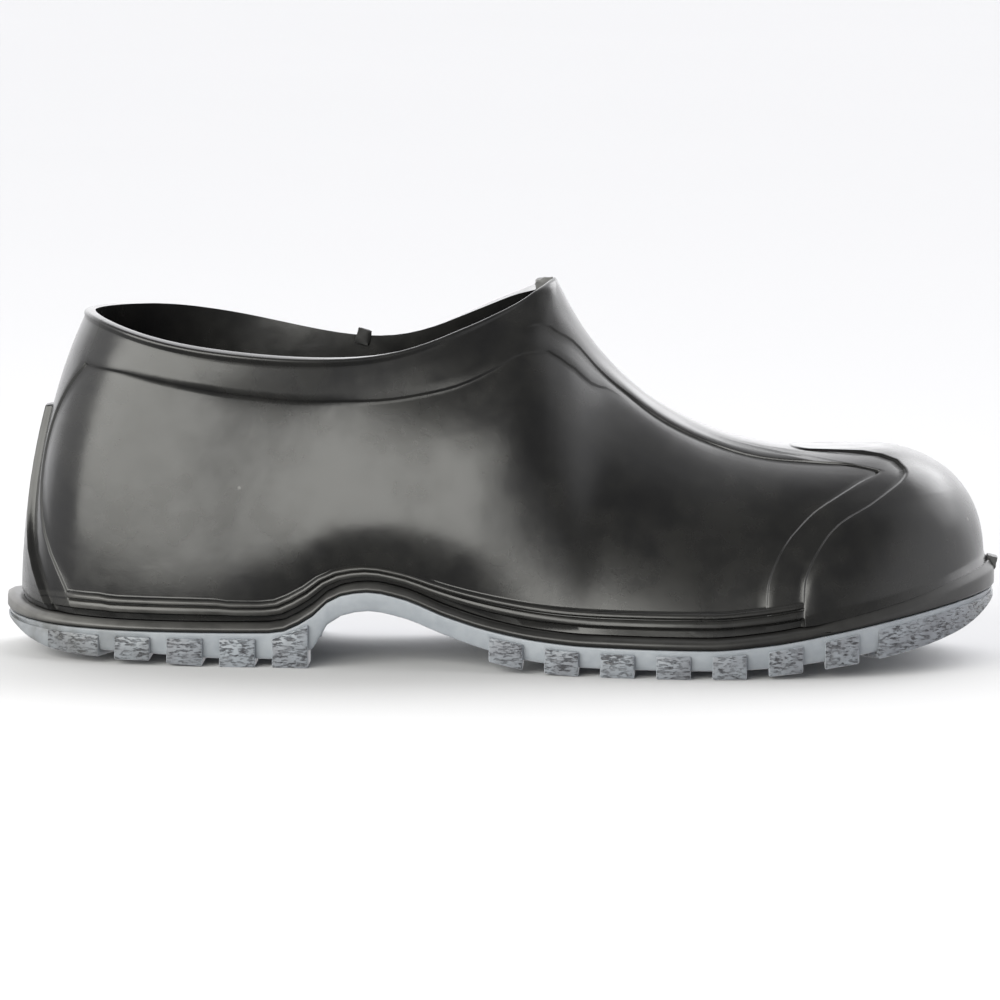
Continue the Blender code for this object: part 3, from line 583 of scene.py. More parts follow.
def makePaleRubber(name, look, cleatFace):
    material, tree, shader, place = newMaterial(name)
    skin = groupNode(tree, rubberSkin, Vector=place, Grain=look["grain"], Cloud=look["cloud"])
    cloudy = skin.outputs["Cloudy"]
    colour = mixColour(tree, cloudy, look["shade"], look["cleat"] if cleatFace else look["light"])
    height = skin.outputs["Height"]
    if cleatFace:  # rough mottled faces with dark streaks in their hollows
        streaky = addNode(tree, "ShaderNodeMapping", None, Vector=place, Scale=look["streaks"]).outputs[0]
        streaks = noiseNode(tree, streaky, 1.0, 3.0, look["streakRough"])
        patch = rangeNode(tree, noiseNode(tree, place, look["patchScale"], 1.0), *look["patchRange"])
        stain = mathNode(tree, "MULTIPLY", rangeNode(tree, streaks, *look["streakRange"]), patch)
        colour = mixColour(tree, stain, colour, look["stain"])
        height = mathNode(tree, "SUBTRACT", mathNode(tree, "MULTIPLY", height, look["mottleSkin"]), stain)
    lengthwise = addNode(tree, "ShaderNodeSeparateXYZ", None, i0=place).outputs["X"]
    dirt = mathNode(tree, "MAXIMUM", rangeNode(tree, lengthwise, *look["heelDirt"]),
                    rangeNode(tree, lengthwise, *look["toeDirt"]))
    uneven = rangeNode(tree, noiseNode(tree, place, look["dirtScale"], 3.0), *look["dirtRange"])
    dirt = mathNode(tree, "MULTIPLY", dirt, uneven)
    colour = mixColour(tree, dirt, colour, look["dirt"])
    tree.links.new(colour, shader.inputs["Base Color"])
    tree.links.new(rangeNode(tree, cloudy, 0.0, 1.0, *look["roughness"]), shader.inputs["Roughness"])
    if cleatFace:
        bumpInto(tree, shader, height, look["mottle"], look["mottleStrength"])
    else:
        bumpInto(tree, shader, height, look["bump"])
    shader.inputs["Subsurface Weight"].default_value = 0.0 if cleatFace else look["scatter"]
    shader.inputs["Subsurface Scale"].default_value = look["scatterDepth"]
    shader.inputs["Subsurface Radius"].default_value = look["scatterTint"]
    return material


outsoleRubber = makePaleRubber("outsoleRubber", paleLook, False)
cleatRubber = makePaleRubber("cleatRubber", paleLook, True)
print("rubbers mixed")


def addPaleRubbers(piece):  # plain first, mottled second
    for material in (outsoleRubber, cleatRubber):
        piece.data.materials.append(material)


# The upper
upper = {
    "wall": 2.0,
    "overlay": 0.65,    # collar band, instep strip, toe band and back stay
    "cap": 0.9,
    "heelRib": 2.3,
    "stepWidth": 0.48,
    "stepShape": [(-1.0, 0.0), (-0.55, 0.12), (0.0, 0.5), (0.55, 0.88), (1.0, 1.0)],
    "stepRoom": 0.28,  # most of the room beside a line that its step may take
    # columns between toe tip, cap, band, collar front, stay, rib, heel back
    "spans": [26, 5, 30, 42, 7, 5],
    "crowding": 1.35,
    "capLine": {"x": [0, 0.075, 0.155, 0.225, 0.29, 0.345, 0.39, 0.435, 0.5, 0.56, 0.605, 0.685, 0.775,
                      0.84, 0.87, 0.89, 0.93, 1.0],
                "at": [2.97, 2.96, 2.95, 2.89, 2.79, 2.68, 2.53, 2.27, 1.98, 1.63, 1.47, 1.39, 1.61,
                       2.04, 2.60, 2.90, 3.03, 3.06]},
    "bandLine": {"x": [0, 0.1, 0.185, 0.26, 0.34, 0.385, 0.46, 0.51, 0.6, 0.66, 0.72, 0.78, 0.84, 0.875,
                       0.9, 1.0],
                 "at": [3.26, 3.25, 3.24, 3.19, 3.10, 3.02, 2.83, 2.63, 2.25, 1.95, 2.18, 2.52, 2.9, 3.2,
                        3.36, 3.46]},
    "stayLine": {"x": [0, 0.095, 0.155, 0.225, 0.305, 0.38, 0.48, 0.56, 0.655, 0.75, 0.825, 1.0],
                 "at": [8.50, 8.66, 8.84, 9.07, 9.29, 9.45, 9.55, 9.50, 9.33, 9.08, 8.87, 8.80]},
    "ribLine": {"x": [0, 0.1, 0.2, 0.3, 0.4, 0.5, 0.6, 1.0],
                "at": [8.84, 9.12, 9.46, 9.66, 9.79, 9.87, 9.90, 9.90]},
    "bandEdge": {"x": [0, 2.4, 3.2, 4.0, 4.40, 4.54, 4.62, 4.73, 4.84, 4.95, 5.01, 5.09, 5.26, 5.40, 5.54,
                       5.79, 6.06, 6.35, 6.64, 6.93, 7.45, 7.98, 8.89, 10],
                 "at": [0.50, 0.66, 0.72, 0.745, 0.765, 0.742, 0.711, 0.683, 0.680, 0.698, 0.712, 0.723,
                        0.755, 0.762, 0.764, 0.777, 0.787, 0.809, 0.834, 0.845, 0.850, 0.845, 0.821,
                        0.821]},
    "stripEdge": {"x": [0, 1.2, 1.95, 2.14, 2.55, 2.96, 3.33, 3.68, 4.05, 4.34, 4.54, 4.66, 4.79, 4.91,
                        5.0, 5.18, 5.4, 6.5, 8, 10],
                  "at": [0.58, 0.62, 0.66, 0.725, 0.760, 0.780, 0.783, 0.796, 0.799, 0.806, 0.790, 0.780,
                         0.770, 0.771, 0.788, 0.840, 0.89, 0.915, 0.92, 0.91]},
    "edgeFrom": 60,     # the two edges are looked for above this place in fineUp
    "edgeGap": 3.4,     # in step widths, between the two edges
    "bandFade": ([4.46, 4.72, 5.08, 5.2, 5.34], [0.0, 0.85, 0.7, 0.5, 1.0]),
    "stripFade": ([4.35, 4.7, 5.02, 5.26], [1.0, 0.75, 0.7, 0.0]),
    # ribs over the sole: share of their height, and how far they stand out
    "ribRows": [(0.24, 0.0), (0.285, 0.25), (0.315, 1.1), (0.35, 1.6), (0.42, 1.75), (0.53, 1.72),
                (0.60, 1.5), (0.635, 0.95), (0.66, 0.55), (0.685, 0.55), (0.71, 0.95), (0.75, 1.32),
                (0.82, 1.38), (0.90, 1.2), (0.95, 0.75), (0.985, 0.2), (1.03, 0.0), (1.08, 0.0),
                (1.16, 0.0)],
    "ribFoot": (0.24, 0.32),    # overlays die out below these shares
    # foot of the toe cap: it flares out from a crease, at shares of the same height
    "flare": ([0.0, 0.37, 0.43], [1.25, 0.06, 0.0]),
    "flareStations": 2.9,
    "flareGap": 0.02,           # it closes the gap to the midsole
    "tongue": (0.65, 0.85, 0.94),  # the cap's peak thins out by a share between two heights
    # the band stands up towards its rim
    "collarFlare": ([5.15, 5.6, 6.6, 7.3, 8.3], [0.0, 2.2, 2.2, 0.7, 0.0]),
    "flareStart": 0.80,
    "rimRise": 1.0,  # the rim slopes outwards from its inner edge
    "dustAndSheenAlong": ([3.0, 5.2, 6.5, 8.5], [0.08, 0.1, 0.5, 0.8]),
    "dustAndSheenFrom": (0.5, 0.8),     # dust and a painted sheen lie on what stands out this far, over this range
    "stayDustAndSheen": 0.7,
    "bodyRows": [0.06, 0.13, 0.20, 0.27, 0.34, 0.41, 0.48, 0.55, 0.61, 0.67],
    "ribTop": 0.735,
    "ribTopWidth": 0.012,
    "bodyRowsOver": [0.79, 0.84, 0.89, 0.94, 0.98],
    "ridgeRows": [0.22, 0.42, 0.58, 0.71, 0.82, 0.90, 0.96, 1.0],
    "rimRows": [3.4, 2.5, 2.0, 1.65, 1.2, 0.7, 0.3, 0.0],   # mm below the collar edge
    "rimBead": [0.0, 0.0, 0.12, 0.45, 0.68, 0.68, 0.5, 0.15],
    "rimOpens": (0.002, 0.12),  # stations behind the collar front
    # the rim is broad where it peaks
    "frontRim": {"back": (4.4, 0.0, 1.2), "reach": 0.16, "fade": (0.90, 1.0)},
    "innerRows": [0, 0.03, 0.07, 0.12, 0.2, 0.28, 0.36, 0.44, 0.52, 0.6, 0.68, 0.75, 0.82, 0.88, 0.93,
                  0.97, 1.0],
    "crownReach": 0.5,          # round the toe's crown the skin faces straight up
    "collarHeights": (0.088, 0.130),  # metres
    "footHeights": (0.0, 0.045),
}
tipMark, capMark, bandMark, frontMark, stayMark, ribMark, backMark = range(7)
markLines = {capMark: "capLine", bandMark: "bandLine", stayMark: "stayLine", ribMark: "ribLine"}
fineUp = np.linspace(0, 1, 161)


def markStations(up):
    marks = np.zeros((backMark + 1, len(up)))
    for mark, line in markLines.items():
        marks[mark] = calmCurve(upper[line]["x"], upper[line]["at"], up)
    marks[frontMark] = lastForm["collarFront"]
    marks[backMark] = halfTurn
    return marks


# half width of each step in stations, so that it stays even along the line
def markWidths():
    marks = markStations(fineUp)
    widths = np.zeros_like(marks)
    for mark in markLines:
        line = lastPoint(marks[mark], fineUp)
        tangent = np.gradient(line, axis=0)
        tangent /= np.linalg.norm(tangent, axis=1, keepdims=True)
        across = (lastPoint(marks[mark] + tiny, fineUp) - line) / tiny
        across -= (across * tangent).sum(1, keepdims=True) * tangent
        room = np.minimum(marks[mark] - marks[mark - 1], marks[mark + 1] - marks[mark])
        even = upper["stepWidth"] / np.linalg.norm(across, axis=1)
        widths[mark] = np.minimum(even, upper["stepRoom"] * room)
    return widths


stepWidths = markWidths()


# each column is a mark with an offset across its step, or a share of the span between two marks
def upperColumns():
    columns = []
    for mark, count in enumerate(upper["spans"]):
        if mark in markLines:
            columns += [(mark, across, None) for across, _ in upper["stepShape"]]
        else:
            columns.append((mark, 0.0, None))
        for i in range(1, count):
            share = i / count
            if mark == bandMark:
                share = 1 - (1 - share) ** upper["crowding"]
            if mark == frontMark:
                share = share ** upper["crowding"]
            columns.append((mark, None, share))
    return columns + [(backMark, 0.0, None)]


def columnStation(column, up):
    mark, across, share = column
    marks = markStations(up)
    widths = np.array([np.interp(up, fineUp, width) for width in stepWidths])
    if share is None:
        return marks[mark] + across * widths[mark]
    start = marks[mark] + widths[mark]
    stop = marks[mark + 1] - widths[mark + 1]
    return start + (stop - start) * share


# 0 on the toe side of a mark, 1 past it
def pastMark(column, mark):
    if column[0] == mark and column[2] is None:
        return float(np.interp(column[1], *zip(*upper["stepShape"])))
    return 1.0 if column[0] >= mark else 0.0


def crossing(table, stations):
    over = fineUp - calmCurve(table["x"], table["at"], stations)
    over[:upper["edgeFrom"]] = -1.0
    i = max(int(np.argmax(over >= 0)), 1)
    return fineUp[i - 1] - over[i - 1] * (fineUp[i] - fineUp[i - 1]) / (over[i] - over[i - 1])


def upperRowUps(column):
    stations = columnStation(column, fineUp)
    path = lastPoint(stations, fineUp)
    length = np.concatenate([[0], np.cumsum(np.linalg.norm(np.diff(path, axis=0), axis=1))])
    ribs = float(soleLevel("ribs", path[0, 0]))
    low = np.interp([share * ribs for share, _ in upper["ribRows"]], length, fineUp)
    spread = np.array([across for across, _ in upper["stepShape"]])
    width = upper["stepWidth"] / length[-1]
    strip = crossing(upper["stripEdge"], stations)
    band = min(crossing(upper["bandEdge"], stations), strip - upper["edgeGap"] * width)
    over = band - width - low[-1]
    ribTop = upper["ribTop"] + upper["ribTopWidth"] * spread
    body = low[-1] + over * np.concatenate([upper["bodyRows"], ribTop, upper["bodyRowsOver"]])
    between = np.linspace(band + width, strip - width, 4)[1:-1]
    ridge = strip + width + (1 - strip - width) * np.array(upper["ridgeRows"])
    rim = np.interp(length[-1] - np.array(upper["rimRows"]), length, fineUp)
    opened = float(easeStep(stations[-1] - lastForm["collarFront"], *upper["rimOpens"]))
    top = ridge + (rim - ridge) * opened
    rows = [[0], low, body, band + width * spread, between, strip + width * spread, top]
    return np.concatenate(rows), opened


# 0 below the step that starts at a row, 1 above it
def pastRow(rows, start):
    shape = [high for _, high in upper["stepShape"]]
    past = np.zeros(rows)
    past[start:start + len(shape)] = shape
    past[start + len(shape):] = 1
    return past


def upperSteps(column, ups, stations, opened):
    stepCount, ribCount = len(upper["stepShape"]), len(upper["ribRows"])
    topCount = len(upper["ridgeRows"])
    rows = len(ups)
    ribStart = 1 + ribCount + len(upper["bodyRows"])
    bandStart = ribStart + stepCount + len(upper["bodyRowsOver"])
    stripStart = bandStart + stepCount + 2
    raised = (pastRow(rows, bandStart) * np.interp(stations, *upper["bandFade"])
              + pastRow(rows, stripStart) * np.interp(stations, *upper["stripFade"]))
    toeBand, toeCap = 1 - pastMark(column, bandMark), 1 - pastMark(column, capMark)
    stay, heelRib = pastMark(column, stayMark), pastMark(column, ribMark)
    shares = np.concatenate([[0], [share for share, _ in upper["ribRows"]]])
    foot = np.ones(rows)
    foot[:1 + ribCount] = np.interp(shares, upper["ribFoot"], [toeCap, 1.0])
    thinning, *between = upper["tongue"]
    tongue = 1 - thinning * easeStep(ups, *between)
    step = upper["overlay"] * np.maximum(raised, max(toeBand, stay) * foot) + upper["cap"] * toeCap * tongue
    low = np.zeros(rows)
    low[1:1 + ribCount] = [out for _, out in upper["ribRows"]]
    flare = np.zeros(rows)
    flare[:1 + ribCount] = np.interp(shares, *upper["flare"])
    plain = np.maximum(step, low * (1 - stay))
    step = plain * (1 - toeCap) + (step + flare) * toeCap
    step += upper["heelRib"] * heelRib * (1 - pastRow(rows, ribStart))
    bead = np.zeros(rows)
    bead[-topCount:] = upper["rimBead"]
    # painted sheen and dust on the ribs that stand out, less on the back stay, more towards the heel
    least, span = upper["dustAndSheenFrom"]
    dust = np.clip((low - least) / span, 0, 1) * (1 - toeCap) * (1 - upper["stayDustAndSheen"] * stay)
    dust *= np.interp(stations, *upper["dustAndSheenAlong"])
    cut = np.full(rows, 1 - abs(2 * stay - 1))
    return step + bead * opened, dust, cut


# the far side mirrors the near one
def bothSides(rows):
    rows = np.array(rows)
    return np.concatenate([rows, rows[-2::-1]])


def skinPoints(rows, inside):
    stations, ups, steps = np.array(rows).transpose(1, 0, 2)
    flaring = np.clip((ups - upper["flareStart"]) / (1 - upper["flareStart"]), 0, 1)
    steps = bothSides(steps + np.interp(stations, *upper["collarFlare"]) * flaring)
    stations = np.concatenate([stations, fullTurn - stations[-2::-1]])
    ups = bothSides(ups)
    points, normals = lastPoint(stations, ups), lastNormal(stations, ups)
    fromTip = np.minimum(stations, fullTurn - stations)
    closed = (ups > 1 - hair) & (fromTip <= lastForm["collarFront"] + hair)
    normals[closed, 1] = 0.0  # nothing leans to a side along the ridge and at the seam
    normals[[0, -1], :, 1] = 0.0
    normals[closed & (np.abs(points[..., 0] - lastForm["toeCrown"]) < upper["crownReach"])] = 0, 0, 1
    normals /= np.linalg.norm(normals, axis=-1, keepdims=True)
    skin = points + normals * steps[..., None]
    if inside:  # straight back from the peak
        front = upper["frontRim"]
        near = np.exp(-(((fromTip - lastForm["collarFront"]) / front["reach"]) ** 2))
        near *= easeStep(ups, *front["fade"])
        skin -= near[..., None] * np.array(front["back"])
        skin[:, -1, 2] += upper["rimRise"] * np.where(closed[:, -1], 0.0, 1 - near[:, -1])
    toe = fromTip[:, 0] < upper["flareStations"]
    skin[:, 0, 2] = soleLevel("welt", skin[:, 0, 0]) + np.where(toe, upper["flareGap"], lastForm["gap"])
    return skin


def buildUpper():
    outer, inner, dustAndSheens, cuts = [], [], [], []
    innerUps = np.array(upper["innerRows"])
    innerSteps = np.full(len(innerUps), -upper["wall"])
    for column in upperColumns():
        ups, opened = upperRowUps(column)
        stations = columnStation(column, ups)
        steps, dust, cut = upperSteps(column, ups, stations, opened)
        outer.append((stations, ups, steps))
        inner.append((columnStation(column, innerUps), innerUps, innerSteps))
        dustAndSheens.append(dust)
        cuts.append(cut)
    inside = skinPoints(inner, True)
    clean = np.zeros(inside.shape[:2])
    # the dust mask carries both dust and a painted sheen
    piece = joinPieces([
        layGrid("overshoeUpper", skinPoints(outer, False), dust=bothSides(dustAndSheens), cutEdge=bothSides(cuts)),
        layGrid("upperInside", inside, dust=clean, cutEdge=clean)])
    weldAll(piece)
    for heights in (upper["collarHeights"], upper["footHeights"]):
        bridgeRims(piece, *heights)
    finishPiece(piece, upperRubber, "upper")


buildUpper()


# The sole layers are closed sheets: out along the top to the rim, round it, and back underneath
midsole = {
    "rings": [0.0, 0.2, 0.4, 0.6, 0.78, 0.9, 1.0],
    "topRim": [(2.4, 0.0), (1.5, -0.4), (0.75, -0.9), (0.2, -1.4), (0.0, -1.9)],
    "toeRim": [(1.3, 0.0), (0.6, -1.5), (0.2, -2.35), (0.03, -2.9), (0.0, -3.4)],  # steeper round the toe
    "toeStations": (2.6, 3.0),
    "lowRim": [(0.0, 0.9), (0.06, 0.45), (0.3, 0.12), (0.8, 0.0)],
    "dust": [0.0, 0.6, 1.0, 1.0, 1.0, 0.9, 0.8, 0.4],  # dust and painted sheen, from the feather over the rim
    # by stations from the heel back
    "dustAndSheenAlong": ([0.0, 1.2, 2.5, 4.5, 7.0], [1.0, 0.8, 0.42, 0.12, 0.08]),
}
outsole = {
    "rings": [0.0, 0.2, 0.4, 0.6, 0.78, 0.9, 1.0],
    "topRim": [(1.4, 0.0), (0.95, -0.03), (0.7, -0.2), (0.6, -0.6)],
    "lowRim": [(1.45, 1.5), (1.65, 0.7), (1.9, 0.25), (2.4, 0.0)],
    "heelCleats": {"first": 43.05, "pitch": 16.45, "count": 4, "length": 11.2},
    "ballCleats": {"first": 159.6, "pitch": 17.3, "count": 7, "length": 10.6},
    "toeLug": 275.0,   # the lugs at the ends are wrapped round the toe and the heel from here
    "heelLug": 32.2,
    "heelMottle": 15.5,
    "wrapInset": 0.3,
    "wrapColumns": 41,
    "cleatDepth": 14.0,
    "cleatDrop": 1.6,
    "flatSlope": 0.6,
    "barWidth": 6.5,
    "barReach": 0.42,
    "barBite": 3.0,
    "edgeRound": 0.55,
    "roundSegments": 2,
    "sharp": 40,         # degrees
    "smooth": 30,
    "sideFacing": 0.6,   # faces that look out this much are mottled
    "upFacing": 0.5,     # and up or down no more than this
}
rimShares = np.linspace(0, halfTurn, rimSamples)


def soleStations():
    columns = upperColumns()
    zero = np.zeros(1)
    stations = np.array([float(columnStation(column, zero)[0]) for column in columns])
    return np.concatenate([stations, fullTurn - stations[-2::-1]])


def soleSheet(settings, topColumn, lowColumn, lowLift):
    stations = soleStations()
    x, y = feather(stations)
    middle = spineX(x)
    rows = []

    def ringRow(ring, column, lift):
        px = middle + (x - middle) * ring
        py = spineY(middle) * (1 - ring) + y * ring
        rows.append(np.stack([px, py, soleLevel(column, px) + lift], axis=-1))

    def rimRow(inset, column, lift):
        px, py = soleEdge(stations, inset)
        room = soleLevel(topColumn, px) - soleLevel(lowColumn, px)
        thin = 1.0
        if column == lowColumn:
            rim = soleForm["thinRim"]
            thin = np.clip((room - lowLift - rim["spare"]) / rim["span"], rim["least"], 1)
        rows.append(np.stack([px, py, soleLevel(column, px) + lift * thin], axis=-1))

    for ring in settings["rings"]:
        ringRow(ring, topColumn, 0.0)
    fromTip = np.minimum(stations, fullTurn - stations)
    toe = 1 - easeStep(fromTip, *settings.get("toeStations", (0, 1)))
    toeRim = settings.get("toeRim", settings["topRim"])
    for (inset, drop), (toeInset, toeDrop) in zip(settings["topRim"], toeRim):
        rimRow(inset + (toeInset - inset) * toe, topColumn, drop + (toeDrop - drop) * toe)
    for inset, lift in settings["lowRim"]:
        rimRow(inset, lowColumn, lift)
        rows[-1][:, 2] += lowLift
    for ring in settings["rings"][::-1]:
        ringRow(ring, lowColumn, lowLift)
    return np.stack(rows, axis=1)


def buildMidsole():
    sheet = soleSheet(midsole, "welt", "rand", lastForm["gap"])
    # painted sheen and dust along the top of the flange, more towards the heel
    dust = np.zeros(sheet.shape[:2])
    feathered = len(midsole["rings"]) - 1
    dust[:, feathered:feathered + len(midsole["dust"])] = midsole["dust"]
    dust *= np.interp(np.abs(soleStations() - halfTurn), *midsole["dustAndSheenAlong"])[:, None]
    piece = layGrid("overshoeMidsole", sheet, dust=dust)
    weldAll(piece)
    finishPiece(piece, midsoleRubber, "midsole")


buildMidsole()


def edgeAt(x, side, inset):
    rimX, rimEdge = soleEdge(rimShares if side < 0 else fullTurn - rimShares, inset)
    return float(np.interp(x, rimX[::-1], rimEdge[::-1]))


def roundEdges():
    bpy.ops.mesh.bevel(offset=outsole["edgeRound"] * mm, segments=outsole["roundSegments"], affect="EDGES")
    bpy.ops.object.mode_set(mode="OBJECT")


# a cube drawn out to four corners in plan, its edges rounded; its outer face is mottled
def addLug(name, corners, heights, outward):
    startClean()
    bpy.ops.mesh.primitive_cube_add(size=2)
    lug = bpy.context.object
    lug.name = lug.data.name = name
    addPaleRubbers(lug)
    for vert in lug.data.vertices:
        corner = (0 if vert.co.x < 0 else 1) + (0 if vert.co.y < 0 else 2)
        x, y = corners[corner]
        z = heights[corner][0 if vert.co.z < 0 else 1]
        vert.co = (np.array([x, y, z]) + home) * mm
    faceOutwards()
    for face in lug.data.polygons:
        face.material_index = 1 if face.normal.y * outward > outsole["sideFacing"] else 0
    bpy.ops.object.mode_set(mode="EDIT")
    roundEdges()
    return lug


def rimStation(x):
    return float(np.interp(-x, -soleEdge(rimShares, outsole["wrapInset"])[0], rimShares))


# a lug that follows the rim to either side of a station; its face is mottled ahead of a place
def addWrappedLug(name, middle, reach, axis, mottledFrom):
    stations = (middle + np.linspace(-reach, reach, outsole["wrapColumns"])) % fullTurn
    low, high = [], []
    for inset in (outsole["wrapInset"], outsole["cleatDepth"]):
        x, y = soleEdge(stations, inset)
        tread, rand = soleLevel("tread", x), soleLevel("rand", x)
        low.append(np.stack([x, y, tread], axis=-1))
        high.append(np.stack([x, y, rand - np.minimum(outsole["cleatDrop"], (rand - tread) / 2)], axis=-1))
    lug = layGrid(name, np.stack([low[0], high[0], high[1], low[1], low[0]], axis=1))
    weldAll(lug)
    addPaleRubbers(lug)
    editAll()
    bpy.ops.mesh.fill_holes(sides=0)
    bpy.ops.object.mode_set(mode="OBJECT")
    faceOutwards()
    heart = Vector(((axis + home[0]) * mm, home[1] * mm, 0))
    for face in lug.data.polygons:
        out = (face.center - heart).to_2d().dot(face.normal.to_2d()) > 0
        upright = abs(face.normal.z) < outsole["upFacing"]
        ahead = face.center.x > (mottledFrom + home[0]) * mm
        face.material_index = 1 if out and upright and ahead else 0
    bpy.ops.object.mode_set(mode="EDIT")
    bpy.ops.mesh.select_mode(type="EDGE")
    bpy.ops.mesh.select_all(action="DESELECT")
    bpy.ops.mesh.edges_select_sharp(sharpness=math.radians(outsole["sharp"]))
    roundEdges()
    return lug


def addCleat(name, start, end, side):
    corners, heights = [], []
    tread = [float(soleLevel("tread", x)) for x in (start, end)]
    middle = float(soleLevel("tread", (start + end) / 2))
    flat = abs(tread[0] - tread[1]) < outsole["flatSlope"]
    for inward in (0.0, outsole["cleatDepth"]):
        for x, low in zip((start, end), tread):
            corners.append((x, edgeAt(x, side, -cleatProud) - side * inward))
            heights.append((middle if flat else low, float(soleLevel("rand", x)) - outsole["cleatDrop"]))
    return addLug(name, corners, heights, side)


def addBar(name, centre):
    corners, heights = [], []
    half = outsole["barWidth"] / 2
    tread = float(soleLevel("tread", centre))
    for side in (-1, 1):
        for x in (centre - half, centre + half):
            corners.append((x, edgeAt(x, side, 0.0) * outsole["barReach"]))
            heights.append((tread, float(soleLevel("base", x)) + outsole["barBite"]))
    return addLug(name, corners, heights, 0)


def buildOutsole():
    slab = layGrid("overshoeOutsole", soleSheet(outsole, "rand", "base", 0.0))
    weldAll(slab)
    addPaleRubbers(slab)
    faceOutwards()
    lugs = []
    for row in (outsole["heelCleats"], outsole["ballCleats"]):
        for i in range(row["count"]):
            centre = row["first"] + row["pitch"] * i
            start, end = centre - row["length"] / 2, centre + row["length"] / 2
            for side in (-1, 1):
                lugs.append(addCleat("cleat", start, end, side))
            if i or row is outsole["heelCleats"]:
                lugs.append(addBar("bar", centre - row["pitch"] / 2))
    lugs.append(addWrappedLug("toeLug", 0, rimStation(outsole["toeLug"]), lastForm["toeCrown"], 0))
    lugs.append(addWrappedLug("heelLug", halfTurn, halfTurn - rimStation(outsole["heelLug"]),
                              lastForm["heelAxis"], outsole["heelMottle"]))
    tread = joinPieces(lugs)
    union = slab.modifiers.new("tread", "BOOLEAN")
    union.operation = "UNION"
    union.solver = "EXACT"
    union.object = tread
    makeActive(slab)
    bpy.ops.object.modifier_apply(modifier=union.name)
    bpy.data.objects.remove(tread)
    finishPiece(slab, None, "outsole", outsole["smooth"])


buildOutsole()


# Flash left by the mould: a nub on the far rim, ragged rubber on the collar's peak, a tab at the toe
flash = [
    {"name": "rimNub", "station": 13.80, "up": 1.0, "lift": (-1.3, 0.0, 0.6), "size": (4.4, 1.5, 5.0),
     "turn": -14.0, "ragged": 0.3, "seed": 4, "pale": False},
    {"name": "peakFlash", "station": 5.0, "up": 1.0, "lift": (-2.6, 0.0, -1.2), "size": (5.6, 3.4, 3.4),
     "turn": 4.0, "ragged": 0.8, "seed": 11, "pale": True},
    {"name": "toeTab", "station": 0.0, "up": 0.0, "lift": (3.9, 0.0, -0.5), "size": (3.4, 7.0, 4.2),
     "turn": -12.0, "ragged": 0.25, "seed": 2, "pale": True},
]
flashCuts = 3
flashSmooth = 0.4
flashRubber = makeBlackRubber("flashRubber", {**blackLook, "deep": (0.07, 0.07, 0.07, 1),
                                              "bloom": (0.17, 0.17, 0.167, 1), "roughness": (0.5, 0.6)})
nubRubber = makeBlackRubber("nubRubber", {**blackLook, "roughness": (0.55, 0.65)})


def buildFlash(settings):
    startClean()
    bpy.ops.mesh.primitive_cube_add(size=2 * mm)
    piece = bpy.context.object
    piece.name = piece.data.name = settings["name"]
    editAll()
    bpy.ops.transform.resize(value=tuple(size / 2 for size in settings["size"]))
    bpy.ops.mesh.subdivide(number_cuts=flashCuts)
    bpy.ops.transform.vertex_random(offset=settings["ragged"] * mm, uniform=1.0, seed=settings["seed"])
    bpy.ops.mesh.vertices_smooth(factor=flashSmooth, repeat=1)
    bpy.ops.transform.rotate(value=math.radians(settings["turn"]), orient_axis="Y",
                             center_override=(0, 0, 0))
    place = lastPoint(settings["station"], settings["up"]) + np.array(settings["lift"]) + home
    bpy.ops.transform.translate(value=tuple(place * mm))
    bpy.ops.object.mode_set(mode="OBJECT")
    finishPiece(piece, flashRubber if settings["pale"] else nubRubber, None)


for bit in flash:
    buildFlash(bit)


# Studio: pale floor, soft surroundings that are brighter behind the shoe, one wide softbox in front
studio = {
    "floor": (0.62, 0.62, 0.625, 1),
    "floorSize": 14.0,
    "floorCloud": 2.0,
    "floorShade": 0.985,
    "floorRough": 0.9,
    "floorSpecular": 0.1,
    "tint": (0.985, 0.985, 1.0, 1),
    "frontGlow": 0.15,
    "backGlow": 3.5,
    "backEdge": (0.0, 0.72),
    "backLow": (-0.2, 0.5, 0.35, 1.0),     # weaker near the floor
    "backHigh": (0.4, 0.9, 1.0, 0.65),     # and overhead
    "toeGlow": 1.35,
    "toeEdge": (0.42, 1.0),
    "toeLow": (-0.4, 0.0, 0.7, 1.0),
    "heelGlow": 1.4,
    "heelEdge": (-0.42, -1.0),
    "heelLow": (-0.15, 0.30, 0.4, 1.0),
    "panels": [  # two behind for the instep, one above it, and one beside the softbox
        {"azimuth": 141.0, "elevation": 40.0, "edge": (0.93, 0.985), "glow": 4.2},
        {"azimuth": 112.0, "elevation": 29.0, "edge": (0.95, 0.99), "glow": 1.6},
        {"azimuth": 100.0, "elevation": 60.0, "edge": (0.80, 0.98), "glow": 0.6},
        {"azimuth": 2.0, "elevation": 10.0, "edge": (0.90, 0.99), "glow": 0.45},
    ],
    "softbox": {"azimuth": -35.0, "elevation": 18.5, "roll": -4.0, "distance": 1.3, "size": (1.56, 0.88),
                "aim": (0.0, 0.0, 0.05), "radiance": 6.0, "colour": (1.0, 0.995, 0.94)},
}


# from the middle of the shoe: azimuth 0 is towards the camera and grows towards the toe
def towardsFrom(azimuth, elevation):
    azimuth, elevation = math.radians(azimuth), math.radians(elevation)
    return Vector((math.sin(azimuth) * math.cos(elevation), -math.cos(azimuth) * math.cos(elevation),
                   math.sin(elevation)))


def buildFloor():
    startClean()
    bpy.ops.mesh.primitive_plane_add(size=studio["floorSize"])
    floor = bpy.context.object
    floor.name = "floor"
    material, tree, shader, place = newMaterial("paleFloor")
    cloud = noiseNode(tree, place, studio["floorCloud"])
    low = tuple(studio["floorShade"] * c for c in studio["floor"][:3]) + (1,)
    tree.links.new(mixColour(tree, cloud, low, studio["floor"]), shader.inputs["Base Color"])
    shader.inputs["Roughness"].default_value = studio["floorRough"]
    shader.inputs["Specular IOR Level"].default_value = studio["floorSpecular"]
    floor.data.materials.append(material)
    floor.visible_glossy = False


